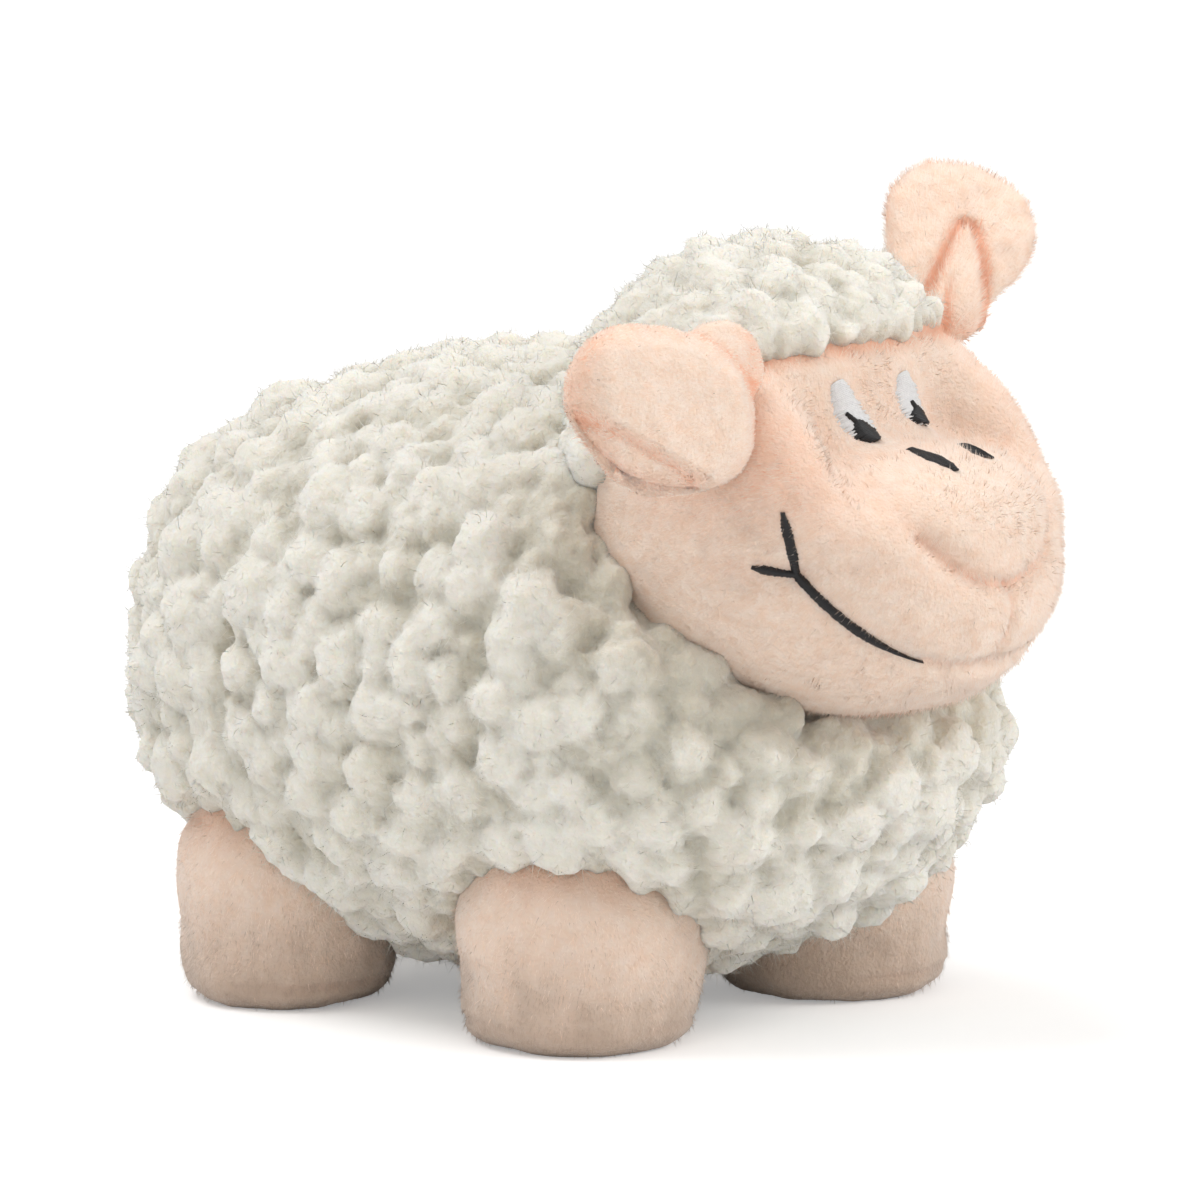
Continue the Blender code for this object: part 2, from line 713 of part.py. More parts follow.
def build_eyes(layout, side, name, materials, pivot):
    reach = head_reach(FACE_PILE)
    middle = face_point(layout, reach, side * EYE_ACROSS / 2, EYE_RISE)
    white = thread_patch(
        layout, middle, EYE_LENGTH, EYE_WIDTH, side * EYE_LEAN, EYE_TAPER_SHARE, THREAD_LIFT
    )
    add_object(f"eye_white_{name}", white, materials["white"], pivot)
    pupil = thread_patch(
        layout,
        middle,
        PUPIL_LENGTH,
        PUPIL_WIDTH,
        side * EYE_LEAN,
        0,
        THREAD_LIFT + THREAD_HEIGHT + PIECE_GAP,
        EYE_LENGTH * PUPIL_DROP_SHARE,
    )
    add_object(f"pupil_{name}", pupil, materials["black"], pivot)
    middle = face_point(layout, reach, side * NOSTRIL_ACROSS / 2, NOSTRIL_RISE)
    nostril = thread_patch(
        layout, middle, NOSTRIL_LENGTH, NOSTRIL_WIDTH, side * NOSTRIL_LEAN, 0, THREAD_LIFT
    )
    add_object(f"nostril_{name}", nostril, materials["black"], pivot)


def build_head(layout, materials, pivot):
    plush = materials["plush"]
    cavity = as_cutter(
        add_object("head_cavity", head_form(layout, 0, STUFFING_SEGMENTS, STUFFING_RINGS))
    )

    def panel(name, swell, material):
        form = head_form(layout, swell, HEAD_SEGMENTS, HEAD_RINGS)
        made = add_object(name, form, material, pivot)
        apply_cut(made, cavity)
        return made

    seam = SEAM_GAP / 2
    face = face_zone("face_zone", layout, -seam)
    cap = panel("head_fleece", HEAD_FLEECE, materials["fleece"])
    apply_cut(cap, face_zone("face_clear", layout, seam))

    nose = panel("nose_panel", FACE_PILE, plush)
    apply_cut(nose, face, "INTERSECT")
    apply_cut(nose, nose_zone("nose_zone", layout, -seam), "INTERSECT")

    chin = panel("chin_panel", FACE_PILE, plush)
    apply_cut(chin, face, "INTERSECT")
    apply_cut(chin, chin_zone("chin_zone", layout, -seam), "INTERSECT")

    nose_clear = nose_zone("nose_clear", layout, seam)
    chin_clear = chin_zone("chin_clear", layout, seam)
    span = 2 * SKULL_SIZE[0]
    for side, name in ((-1, "right"), (1, "left")):
        cheek = panel(f"cheek_{name}", FACE_PILE, plush)
        apply_cut(cheek, face, "INTERSECT")
        apply_cut(cheek, nose_clear)
        apply_cut(cheek, chin_clear)
        edges = sorted((side * seam, -side * span))
        low = (edges[0], layout.head.y - span, layout.head.z - span)
        high = (edges[1], layout.head.y + span, layout.head.z + span)
        apply_cut(cheek, as_cutter(add_object(f"beyond_cheek_{name}", box(low, high))))
        build_mouth(layout, side, name, materials, pivot)
        build_eyes(layout, side, name, materials, pivot)

    form = head_form(layout, -PIECE_GAP, STUFFING_SEGMENTS, STUFFING_RINGS)
    add_object("head_stuffing", form, materials["stuffing"], pivot)


def disc_width(radius, middle, along):
    """Half the width of a disc, where a line crosses it at a distance along."""
    return math.sqrt(max(radius**2 - (along - middle) ** 2, 0))


def ear_half_width(along):
    """Half the ear's width: a small round root that runs into a round lobe."""
    root = disc_width(EAR_ROOT_RADIUS, EAR_ROOT_RADIUS, along)
    lobe = disc_width(EAR_LOBE_RADIUS, EAR_LENGTH - EAR_LOBE_RADIUS, along)
    return (root**EAR_BLEND + lobe**EAR_BLEND) ** (1 / EAR_BLEND)


def ear_reach(middle, angle):
    """How far the ear's outline is from a point on its centre line, at an angle from its tip."""
    near, far = 0.0, EAR_LENGTH
    for _ in range(SEARCH_STEPS):
        reach = (near + far) / 2
        along = middle + reach * math.cos(angle)
        inside = 0 < along < EAR_LENGTH and abs(reach * math.sin(angle)) < ear_half_width(along)
        near, far = (reach, far) if inside else (near, reach)
    return near


def ear_mesh(place, axes, layer):
    """One plush layer of an ear. layer is 1 for the front and -1 for the back."""
    along_axis, across_axis, face_axis = axes
    middle = EAR_LENGTH / 2
    bm = bmesh.new()
    angles = [2 * math.pi * i / EAR_SEGMENTS for i in range(EAR_SEGMENTS)]
    edges = [ear_reach(middle, angle) for angle in angles]

    def point(share, i, height):
        along = middle + share * edges[i] * math.cos(angles[i])
        across = share * edges[i] * math.sin(angles[i])
        cup = EAR_CUP * (across / EAR_LOBE_RADIUS) ** 2 * (along / EAR_LENGTH)
        out = cup + layer * (SEAM_GAP / 2 + height)
        start = place - along_axis * EAR_ROOT_RADIUS
        return bm.verts.new(start + along_axis * along + across_axis * across + face_axis * out)

    count = range(EAR_SEGMENTS)
    rim = [point(1, i, 0) for i in count]
    surfaces = []
    inner_share, outer_share = EAR_RING_SHARES
    for thickness in (0, EAR_LAYER):
        inner = [point(inner_share, i, thickness) for i in count]
        outer = [point(outer_share, i, thickness * EAR_EDGE_SHARE) for i in count]
        surfaces.append((point(0, 0, thickness), inner, outer))
    for centre, inner, outer in surfaces:
        for i in count:
            j = (i + 1) % EAR_SEGMENTS
            bm.faces.new((centre, inner[i], inner[j]))
            bm.faces.new((inner[i], outer[i], outer[j], inner[j]))
            bm.faces.new((outer[i], rim[i], rim[j], outer[j]))
    return bm


def ear_axes(side, sweep, lift, roll):
    """Unit directions of an ear: to its tip, across it, and out of its face."""
    level = Vector((side * math.cos(sweep), math.sin(sweep), 0))
    above = Vector((0, 0, 1))
    forward = Vector((side * math.sin(sweep), -math.cos(sweep), 0))
    along = level * math.cos(lift) + above * math.sin(lift)
    upper_edge = above * math.cos(lift) - level * math.sin(lift)
    face = forward * math.cos(roll) + upper_edge * math.sin(roll)
    across = upper_edge * math.cos(roll) - forward * math.sin(roll)
    return along, across, face


def ear_points(axes):
    """Points of both layers about the hinge, at each angle of the ear's swing."""
    turns = [Matrix.Rotation(angle, 3, axes[2]) for angle in np.linspace(-EAR_SWING, EAR_SWING, TURN_STEPS)]
    points = []
    for layer in (1, -1):
        bm = ear_mesh(Vector(), axes, layer)
        points += [turn @ vert.co for turn in turns for vert in bm.verts]
        bm.free()
    return points


def ear_place(layout, side, axes, root_shares):
    """Where the ear's hinge is, so that the ear just clears the head's facets as it swings."""
    reach = dressed_head_reach()
    outward = Vector(root_shares).normalized()
    outward.x *= side
    points = [axes[0] * EAR_ROOT_RADIUS + point for point in ear_points(axes)]
    sag_share = 1 - flat_share(HEAD_SEGMENTS, HEAD_RINGS)
    near, far = SKULL_SIZE[0] / 2, SKULL_SIZE[0] + EAR_LENGTH
    for _ in range(SEARCH_STEPS):
        middle = (near + far) / 2
        places = np.array([outward * middle + point for point in points])
        lengths = np.linalg.norm(places, axis=1)
        clearance = np.min(lengths - reach(places / lengths[:, None]))
        is_clear = clearance + middle * sag_share > PIECE_GAP
        near, far = (near, middle) if is_clear else (middle, far)
    return layout.head + outward * far + axes[0] * EAR_ROOT_RADIUS


def build_ear(layout, side, name, angles, root_shares, materials):
    axes = ear_axes(side, *angles)
    place = ear_place(layout, side, axes, root_shares)
    hinge = add_pivot(f"ear_{name}_hinge", place)
    for layer, layer_name in ((1, "front"), (-1, "back")):
        add_object(
            f"ear_{layer_name}_{name}", ear_mesh(place, axes, layer), materials["plush"], hinge
        )


def centre_across():
    """Moves the whole toy sideways, until the origin is under the middle of its width."""
    bpy.context.view_layer.update()
    pieces = [obj for obj in bpy.data.objects if obj.type == "MESH" and obj.parent]
    across = [(obj.matrix_world @ vert.co).x for obj in pieces for vert in obj.data.vertices]
    shift = (min(across) + max(across)) / 2
    for obj in bpy.data.objects:
        if not obj.parent:
            obj.location.x -= shift


def main():
    clear_scene()
    materials = {
        "fleece": make_material("fleece", FLEECE_COLOUR, 0.95),
        "plush": make_material("plush", PLUSH_COLOUR, 0.9),
        "sole": make_material("sole_plush", SOLE_COLOUR, 0.9),
        "stuffing": make_material("stuffing", STUFFING_COLOUR, 1),
        "white": make_material("white_thread", WHITE_THREAD_COLOUR, 0.45),
        "black": make_material("black_thread", BLACK_THREAD_COLOUR, 0.5),
    }
    layout = Layout()
    build_body(layout, materials, add_pivot("body_middle", layout.body))
    build_legs(layout, materials)
    build_head(layout, materials, add_pivot("head_axis", layout.head))
    right_angles = (EAR_RIGHT_SWEEP, EAR_RIGHT_LIFT, EAR_RIGHT_ROLL)
    left_angles = (EAR_LEFT_SWEEP, EAR_LEFT_LIFT, EAR_LEFT_ROLL)
    build_ear(layout, -1, "right", right_angles, EAR_RIGHT_ROOT_SHARES, materials)
    build_ear(layout, 1, "left", left_angles, EAR_LEFT_ROOT_SHARES, materials)
    centre_across()


main()
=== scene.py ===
"""Looks of the small plush sheep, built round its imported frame: wool, plush, stitching, light and camera.

Every size is in metres in the frame's own axes: the sheep faces -Y and its left side is +X.
"""

import json
import math

import bmesh
import bpy
import numpy as np
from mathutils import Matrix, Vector
from mathutils.bvhtree import BVHTree


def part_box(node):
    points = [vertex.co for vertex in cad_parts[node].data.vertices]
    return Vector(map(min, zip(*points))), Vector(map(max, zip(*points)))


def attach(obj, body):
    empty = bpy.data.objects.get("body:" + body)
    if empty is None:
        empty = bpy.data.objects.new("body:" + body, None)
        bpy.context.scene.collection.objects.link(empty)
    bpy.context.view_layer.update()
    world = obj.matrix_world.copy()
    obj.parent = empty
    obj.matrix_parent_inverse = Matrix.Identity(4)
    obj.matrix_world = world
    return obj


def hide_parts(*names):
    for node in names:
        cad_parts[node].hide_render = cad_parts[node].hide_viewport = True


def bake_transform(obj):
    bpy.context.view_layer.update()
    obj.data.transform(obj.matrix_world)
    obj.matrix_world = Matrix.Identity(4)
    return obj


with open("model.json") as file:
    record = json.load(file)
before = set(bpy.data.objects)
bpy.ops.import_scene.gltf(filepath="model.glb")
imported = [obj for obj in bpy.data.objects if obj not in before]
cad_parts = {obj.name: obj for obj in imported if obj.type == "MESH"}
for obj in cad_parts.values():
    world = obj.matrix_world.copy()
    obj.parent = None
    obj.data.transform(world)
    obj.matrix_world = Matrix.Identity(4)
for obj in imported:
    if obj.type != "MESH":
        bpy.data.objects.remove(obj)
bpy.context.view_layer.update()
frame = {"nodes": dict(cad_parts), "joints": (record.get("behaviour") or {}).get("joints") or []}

MM = 0.001

SIDES = ((-1, "right"), (1, "left"))

# Places that the frame gives
JOINTS = {joint["name"]: joint for joint in frame["joints"]}
LEGS = ("leg_front_right", "leg_front_left", "leg_hind_right", "leg_hind_left")
HIPS = {leg: Vector(JOINTS[f"{leg}_swing"]["pos_m"]) for leg in LEGS}
HEAD_AXIS = Vector(JOINTS["head_turn"]["pos_m"])
HEAD_NODES = ("head_fleece", "nose_panel", "cheek_right", "cheek_left", "chin_panel", "head_stuffing")
BODY_NODES = ("body_fleece_right", "body_fleece_left", "belly_gusset", "body_stuffing")

# Camera, from the photograph
CAMERA_AZIMUTH = math.radians(-50)
CAMERA_HEIGHT_ANGLE = math.radians(9)
CAMERA_DISTANCE = 2.0
SENSOR_WIDTH = 36
CAMERA_WIDTH = 144.6 * MM
CAMERA_AIM = Vector((4.9, 5.3, 47.8)) * MM

# Wool
WOOL_SINK = 2.1 * MM
WOOL_VOXEL = 0.55 * MM
BODY_SQUARENESS = 2.4
COLLAR_GAP = 2.2 * MM
COLLAR_DROP = 5.5 * MM
COLLAR_SLACK = 2.0 * MM
HEAD_OVERLAP = 3.0 * MM
LEG_OVERLAP = 1.4 * MM
BODY_PUFFS = (2.3 * MM, 4.6 * MM)
CAP_PUFFS = (1.9 * MM, 3.6 * MM)
BODY_SPOTS, BODY_SEED = 14000, 3
CAP_SPOTS, CAP_SEED = 7000, 5
PUFF_SPACING_SHARE = 0.57
SMALLEST_PUFF_SHARE = 0.7
PUFF_LIFT_SHARE = -0.16
PUFF_STRETCH_SHARES = (0.78, 1.25)
PUFF_WARP = 0.9 * MM
SOFTEN_STEPS = 8
CAP_PILE = 1.0 * MM
CAP_TUCK = 2.5 * MM
CAP_OVERHANG = 0.9 * MM
EAR_ROOT_ROOM = 3.6 * MM

# Fuzz: how many fibres, and how long
BODY_FIBRES, BODY_FIBRE_LENGTH = 100000, 1.7 * MM
CAP_FIBRES, CAP_FIBRE_LENGTH = 22000, 1.8 * MM
HEAD_PILE, HEAD_PILE_LENGTH = 64000, 1.05 * MM
LEG_PILE, LEG_PILE_LENGTH = 10000, 1.0 * MM
EAR_PILE, EAR_PILE_LENGTH = 14000, 1.3 * MM
FIBRE_SEGMENTS = 2
WOOL_TILT, PILE_TILT = 0.5, 0.25

# Head, the same five blobs as its solid: size, middle, squareness
HEAD_BLEND = 9
HEAD_BLOBS = (
    (Vector((46.6, 32.2, 40.6)) * MM, Vector((0, -1, 8.8)) * MM, 2.5),
    (Vector((44.2, 48.4, 31.6)) * MM, Vector((0, -13, -6)) * MM, 2),
    (Vector((38.4, 25.4, 12.2)) * MM, Vector((0, -21.8, 1.2)) * MM, 2),
    (Vector((13, 33.8, 28.4)) * MM, Vector((-18.6, -7.6, 2.8)) * MM, 2),
    (Vector((13, 33.8, 28.4)) * MM, Vector((18.6, -7.6, 2.8)) * MM, 2),
)
FACE_PILE = 2.2 * MM
FACE_SKIN = 1.7 * MM
FACE_SEAM_RADIUS = 23 * MM
FACE_SEAM_FORWARD = 20 * MM
FACE_SEAM_SINK = 0.5 * MM
NOSE_RADIUS = 15 * MM
NOSE_RISE = 10 * MM
DART_TURN = math.radians(60)
NOSE_SIDES_TURN = math.radians(100)
# How each line draws the face in: depth and width in mm, then the darkness and width in mm of the painted
# shade along it
FACE_LINES = {
    "sides": (1.0, 2.8, 0.14, 2.2),
    "dart": (1.3, 1.2, 0.8, 0.6),
    "centre_seam": (0.9, 0.9, 0.75, 0.5),
    "mouth": (0.9, 1.6, 0, 1.6),
    "smile": (0.5, 1.0, 0.5, 0.6),
    "saddle": (1.1, 6, 0, 6),
    "eye": (0, 4.5, 0.1, 4.5),
    "nostril": (0.4, 2, 0, 2),
    "corner": (0.7, 2.2, 0.2, 1.2),
}
SADDLE_TURN = math.radians(24)
SADDLE_RISE = 14 * MM
PULL_TURNS = (math.radians(43), math.radians(62))
PULL_RISE = 0.5 * MM
EYE_HALF_HEIGHT = 4 * MM
CAP_COVER = 1.8 * MM

# Mouth and stitches
MOUTH_DROP = 15.6 * MM
CORNER_DROP = 3 * MM
MOUTH_TOP_RISE = 4.7 * MM
CORNER_TURN = math.radians(43.5)
MOUTH_START_TURN = math.radians(17)
MOUTH_TOP_TURN = math.radians(46.5)
MOUTH_CURL = 2.4
CREASE_END_TURN = math.radians(53)
CREASE_END_DROP = 2.2 * MM
# Ends of the stitched shapes in mm: across from the middle of the face, and above the head's axis
EYE_ENDS = {"right": ((-4.3, 11.9), (-7.5, 18.6)), "left": ((7.2, 12.1), (5.3, 18.4))}
PUPIL_ENDS = {"right": ((-4.3, 11.6), (-5.4, 13.7)), "left": ((7.1, 12.1), (6.5, 14.1))}
TAIL_ENDS = {"right": ((-5.3, 13.3), (-6.8, 14.8)), "left": ((6.5, 13.7), (5.8, 14.9))}
NOSTRIL_ENDS = {"right": ((-2.6, 10.5), (-2.4, 8.2)), "left": ((7.2, 9.8), (6.4, 8.6))}
THREAD_STEPS = 7
THREAD_SIDES = 6
THREAD_THICKNESS = 0.34 * MM
THREAD_PITCH = 0.22 * MM
THREAD_END_SINK = 0.3 * MM
SETTLE_LIFT = 0.12 * MM
STITCH_LIFT = 0.26 * MM
PUPIL_LIFT = 0.6 * MM

# Ears, the same outline as their solids
EAR_LENGTH = 25 * MM
EAR_LOBE_RADIUS = 9.7 * MM
EAR_ROOT_RADIUS = 4.8 * MM

# Steps of the searches for a surface, and points measured at once
SEARCH_STEPS = 18
LEVEL_STEPS = 12
TURN_STEPS = 6
GAP_CHUNK = 8192

rng = np.random.default_rng(7)


def array(vector):
    return np.array(vector, float)


HEAD_POINT = array(HEAD_AXIS)


def norm(rows):
    return np.linalg.norm(rows, axis=-1)


def unit(rows):
    return rows / np.maximum(np.linalg.norm(rows, axis=-1, keepdims=True), 1e-12)


def ease(low, high, values):
    """0 at low and 1 at high, with a smooth change between them."""
    share = np.clip((values - low) / (high - low), 0, 1)
    return share * share * (3 - 2 * share)


def bell(values, width):
    """1 where values are 0, falling off to both sides."""
    return np.exp(-((values / width) ** 2))


def thin(count):
    """The number of fibres, unchanged."""
    return count


# Noise

NOISE_TABLE = unit(np.random.default_rng(11).normal(size=(4096, 3)))
HASH = np.array([73856093, 19349663, 83492791], np.int64)


def noise(points, size, seed):
    """Smooth gradient noise from about -1 to 1, with bumps about size across."""
    scaled = points / size + seed * 17.31
    cell = np.floor(scaled).astype(np.int64)
    inner = scaled - cell
    fade = inner**3 * (inner * (inner * 6 - 15) + 10)
    total = np.zeros(len(points))
    for corner in np.ndindex(2, 2, 2):
        step = np.array(corner)
        hashed = ((cell + step) * HASH).sum(axis=1)
        gradient = NOISE_TABLE[(hashed ^ (hashed >> 13)) & 4095]
        weight = np.where(step, fade, 1 - fade).prod(axis=1)
        total += weight * ((inner - step) * gradient).sum(axis=1)
    return total * 1.6


def noise_vectors(points, size, seed):
    return np.stack([noise(points, size, seed + i) for i in range(3)], axis=1)


# Meshes


def flat(values, kind=np.float32):
    """Values in the row and the type that Blender takes."""
    return np.ascontiguousarray(values, kind).ravel()


def read(rows, name, width=1):
    values = np.empty(len(rows) * width, np.float32)
    rows.foreach_get(name, values)
    return values


def add_object(name, data):
    obj = bpy.data.objects.new(name, data)
    bpy.context.scene.collection.objects.link(obj)
    return obj


def mesh_object(name, points, faces, materials, slots=None, normals=None):
    """An object from arrays: points, and faces that all have the same number of corners."""
    mesh = bpy.data.meshes.new(name)
    count, corners = faces.shape
    mesh.vertices.add(len(points))
    mesh.vertices.foreach_set("co", flat(points))
    mesh.loops.add(count * corners)
    mesh.loops.foreach_set("vertex_index", flat(faces, np.int32))
    mesh.polygons.add(count)
    mesh.polygons.foreach_set("loop_start", np.arange(0, count * corners, corners, dtype=np.int32))
    if slots is not None:
        mesh.polygons.foreach_set("material_index", flat(slots, np.int32))
    mesh.update(calc_edges=True)
    mesh.validate()
    mesh.shade_smooth()
    if normals is not None:
        attribute = mesh.attributes.new("custom_normal", "FLOAT_VECTOR", "POINT")
        attribute.data.foreach_set("vector", flat(normals))
    for material in materials:
        mesh.materials.append(material)
    return add_object(name, mesh)


def mesh_points(obj):
    return read(obj.data.vertices, "co", 3).reshape(-1, 3).astype(float)


def mesh_normals(obj):
    return read(obj.data.vertex_normals, "vector", 3).reshape(-1, 3).astype(float)


def move_points(obj, points):
    obj.data.vertices.foreach_set("co", flat(points))
    obj.data.update()


def set_attribute(obj, name, values):
    attribute = obj.data.attributes.new(name, "FLOAT", "POINT")
    attribute.data.foreach_set("value", flat(values))


def get_attribute(obj, name):
    return read(obj.data.attributes[name].data, "value")


def apply_modifiers(obj):
    graph = bpy.context.evaluated_depsgraph_get()
    made = bpy.data.meshes.new_from_object(obj.evaluated_get(graph))
    obj.modifiers.clear()
    obj.data = made


def cube_sphere(steps):
    """Unit directions spread evenly over a ball, and the quads that join them."""
    turns = np.tan(np.linspace(-math.pi / 4, math.pi / 4, steps + 1))
    u, v = np.meshgrid(turns, turns, indexing="ij")
    one = np.ones_like(u)
    sides = [(one, u, v), (-one, v, u), (v, one, u), (u, -one, v), (u, v, one), (v, u, -one)]
    points = np.concatenate([np.stack(side, axis=-1).reshape(-1, 3) for side in sides])
    row = steps + 1
    corner = (np.arange(steps)[:, None] * row + np.arange(steps)).ravel()
    quad = np.stack([corner, corner + row, corner + row + 1, corner + 1], axis=1)
    faces = np.concatenate([quad + i * row * row for i in range(len(sides))])
    rounded = np.round(points, 6)
    _, first, index = np.unique(rounded, axis=0, return_index=True, return_inverse=True)
    return unit(points[first]), index.reshape(-1)[faces]


def ring_faces(tubes, rings, sides):
    """Quads that join rings of points, one ring after another, along each of some tubes."""
    first = (np.arange(tubes)[:, None] * rings + np.arange(rings - 1)).reshape(-1, 1) * sides
    near, beside = first + np.arange(sides), first + (np.arange(sides) + 1) % sides
    return np.stack([near, beside, beside + sides, near + sides], axis=-1).reshape(-1, 4)


def scatter(obj, count, weights=None):
    """Random points on an object, their normals, and a way to read values of its corners there."""
    mesh = obj.data
    mesh.calc_loop_triangles()
    corners = np.empty(len(mesh.loop_triangles) * 3, np.int32)
    mesh.loop_triangles.foreach_get("vertices", corners)
    corners = corners.reshape(-1, 3)
    points, normals = mesh_points(obj), mesh_normals(obj)
    a, b, c = points[corners].transpose(1, 0, 2)
    areas = norm(np.cross(b - a, c - a))
    if weights is not None:
        areas = areas * weights[corners].mean(axis=1)
    chosen = rng.choice(len(areas), count, p=areas / areas.sum())
    first, second = np.sqrt(rng.random(count)), rng.random(count)
    shares = np.stack([1 - first, first * (1 - second), first * second], axis=1)
    picked = corners[chosen]

    def mixed(values):
        values = values[picked]
        share = shares if values.ndim == 2 else shares[..., None]
        return (values * share).sum(axis=1)

    return mixed(points), unit(mixed(normals)), mixed


def fibres(name, roots, normals, directions, bends, lengths, widths, materials, slots, tilt):
    """Tapered ribbons that start at roots and curve from directions towards bends.

    They take light as the surface under them does, and cast no shadow on it.
    """
    count, segments = len(roots), FIBRE_SEGMENTS
    side = unit(np.cross(directions, normals + tilt * rng.normal(size=(count, 3))))
    turned = (np.cross(directions, side) * normals).sum(axis=1) < 0
    side[turned] *= -1
    rows = []
    for step in range(segments + 1):
        share = step / segments
        path = directions * share + bends * share**2
        centre = roots + path * lengths[:, None]
        half = (widths * (1 - share) ** 0.6 / 2)[:, None] * side
        rows += [centre] if step == segments else [centre - half, centre + half]
    points = np.stack(rows, axis=1).reshape(-1, 3)
    per = 2 * segments + 1
    pattern = []
    for step in range(segments - 1):
        low = 2 * step
        pattern += [(low, low + 3, low + 1), (low, low + 2, low + 3)]
    pattern.append((per - 3, per - 1, per - 2))
    pattern = np.array(pattern)
    faces = (np.arange(count)[:, None, None] * per + pattern).reshape(-1, 3)
    lit = np.repeat(unit(normals + 0.25 * directions), per, axis=0)
    fuzz = mesh_object(name, points, faces, materials, np.repeat(slots, len(pattern)), lit)
    fuzz.visible_shadow = False
    return fuzz


# Materials


def principled(name, colour, roughness, sheen=0.0, subsurface=0.0, specular=0.15):
    material = bpy.data.materials.new(name)
    material.use_nodes = True
    shader = material.node_tree.nodes["Principled BSDF"]
    settings = {
        "Base Color": (*colour, 1),
        "Roughness": roughness,
        "Sheen Weight": sheen,
        "Sheen Roughness": 0.5,
        "Subsurface Weight": subsurface,
        "Subsurface Scale": 2 * MM,
        "Subsurface Radius": (1.0, 0.8, 0.6),
        "Specular IOR Level": specular,
    }
    for setting, value in settings.items():
        shader.inputs[setting].default_value = value
    return material, shader


def add_node(material, kind, **values):
    node = material.node_tree.nodes.new(kind)
    for name, value in values.items():
        setattr(node, name, value)
    return node


def mix_colours(material, factor, first, second):
    """A Mix node between two colours, each a socket or a plain colour."""
    node = add_node(material, "ShaderNodeMix", data_type="RGBA")
    links = material.node_tree.links
    links.new(factor, node.inputs["Factor"])
    for socket, value in ((node.inputs[6], first), (node.inputs[7], second)):
        if isinstance(value, bpy.types.NodeSocket):
            links.new(value, socket)
        else:
            socket.default_value = (*value, 1)
    return node.outputs[2]


def attribute_output(material, name):
    return add_node(material, "ShaderNodeAttribute", attribute_name=name).outputs["Fac"]


def noise_output(material, size, detail, low=0.0, high=1.0):
    """Noise with bumps about size across, spread from 0 at low to 1 at high."""
    place = add_node(material, "ShaderNodeTexCoord")
    node = add_node(material, "ShaderNodeTexNoise")
    node.inputs["Scale"].default_value = 1 / size
    node.inputs["Detail"].default_value = detail
    links = material.node_tree.links
    links.new(place.outputs["Object"], node.inputs["Vector"])
    spread = add_node(material, "ShaderNodeMapRange")
    spread.inputs["From Min"].default_value = low
    spread.inputs["From Max"].default_value = high
    links.new(node.outputs["Fac"], spread.inputs["Value"])
    return spread.outputs["Result"]


def add_surface(material, shader, colour, grain, detail, depth, strength=0.6):
    """Gives a material its colour, and a bump with grains of a size."""
    node = add_node(material, "ShaderNodeBump")
    node.inputs["Strength"].default_value = strength
    node.inputs["Distance"].default_value = depth
    links = material.node_tree.links
    links.new(colour, shader.inputs["Base Color"])
    links.new(noise_output(material, grain, detail), node.inputs["Height"])
    links.new(node.outputs["Normal"], shader.inputs["Normal"])


WOOL_TIP = (0.86, 0.83, 0.755)
WOOL_MIDDLE = (0.78, 0.745, 0.65)
WOOL_SHADE = (0.6, 0.56, 0.465)
PLUSH_PALE = (0.98, 0.81, 0.69)
PLUSH_MIDDLE = (0.94, 0.71, 0.56)
# Deep orange painted shade for the plush's creases, seams and hollows
PLUSH_CREASE_SHADE = (0.92, 0.49, 0.32)
PLUSH_SOIL = (0.55, 0.42, 0.33)
THREAD_WHITE = (0.86, 0.86, 0.86)
THREAD_BLACK = (0.010, 0.009, 0.010)


def wool_material():
    material, shader = principled("wool", WOOL_MIDDLE, 0.95, sheen=0.3, subsurface=0.75)
    # Painted shade: the wool turns to its shade colour in the hollows between puffs, by the crease
    # attribute
    colour = mix_colours(material, attribute_output(material, "crease_shade"), WOOL_TIP, WOOL_SHADE)
    colour = mix_colours(material, noise_output(material, 11 * MM, 3, 0.4, 0.9), colour, WOOL_MIDDLE)
    add_surface(material, shader, colour, 0.8 * MM, 6, 1.1 * MM)
    return material


def plush_material():
    material, shader = principled("plush", PLUSH_MIDDLE, 0.9, sheen=0.4, subsurface=0.25)
    streak = noise_output(material, 1.6 * MM, 5, 0.3, 0.7)
    colour = mix_colours(material, streak, PLUSH_MIDDLE, PLUSH_PALE)
    # Painted shade: the plush turns deep orange in its creases, seams and hollows, by the crease attribute
    colour = mix_colours(material, attribute_output(material, "crease_shade"), colour, PLUSH_CREASE_SHADE)
    colour = mix_colours(material, attribute_output(material, "soil"), colour, PLUSH_SOIL)
    add_surface(material, shader, colour, 0.45 * MM, 5, 0.7 * MM)
    return material


def thread_material(name, colour):
    material, shader = principled(name, colour, 0.4, specular=0.5)
    darker = tuple(0.75 * c for c in colour)
    mottled = mix_colours(material, noise_output(material, 0.5 * MM, 2), colour, darker)
    add_surface(material, shader, mottled, 0.12 * MM, 2, 0.05 * MM, 0.4)
    return material


def fibre_materials(kind, tones):
    made = [principled(f"{kind}_fibre_{name}", tone, 0.9, sheen=0.2) for name, tone in tones.items()]
    return [material for material, _ in made]


wool = wool_material()
plush = plush_material()
thread_tones = {"white_thread": THREAD_WHITE, "black_thread": THREAD_BLACK}
thread_kinds = {name: thread_material(name, tone) for name, tone in thread_tones.items()}
wool_tones = {"tip": WOOL_TIP, "middle": WOOL_MIDDLE, "shade": WOOL_SHADE}
# The deep tone is painted shade, for pile fibres in creases and seams
plush_tones = {"pale": PLUSH_PALE, "middle": PLUSH_MIDDLE, "deep_shade": PLUSH_CREASE_SHADE, "soil": PLUSH_SOIL}
wool_fibres = fibre_materials("wool", wool_tones)
plush_fibres = fibre_materials("plush", plush_tones)


# Forms


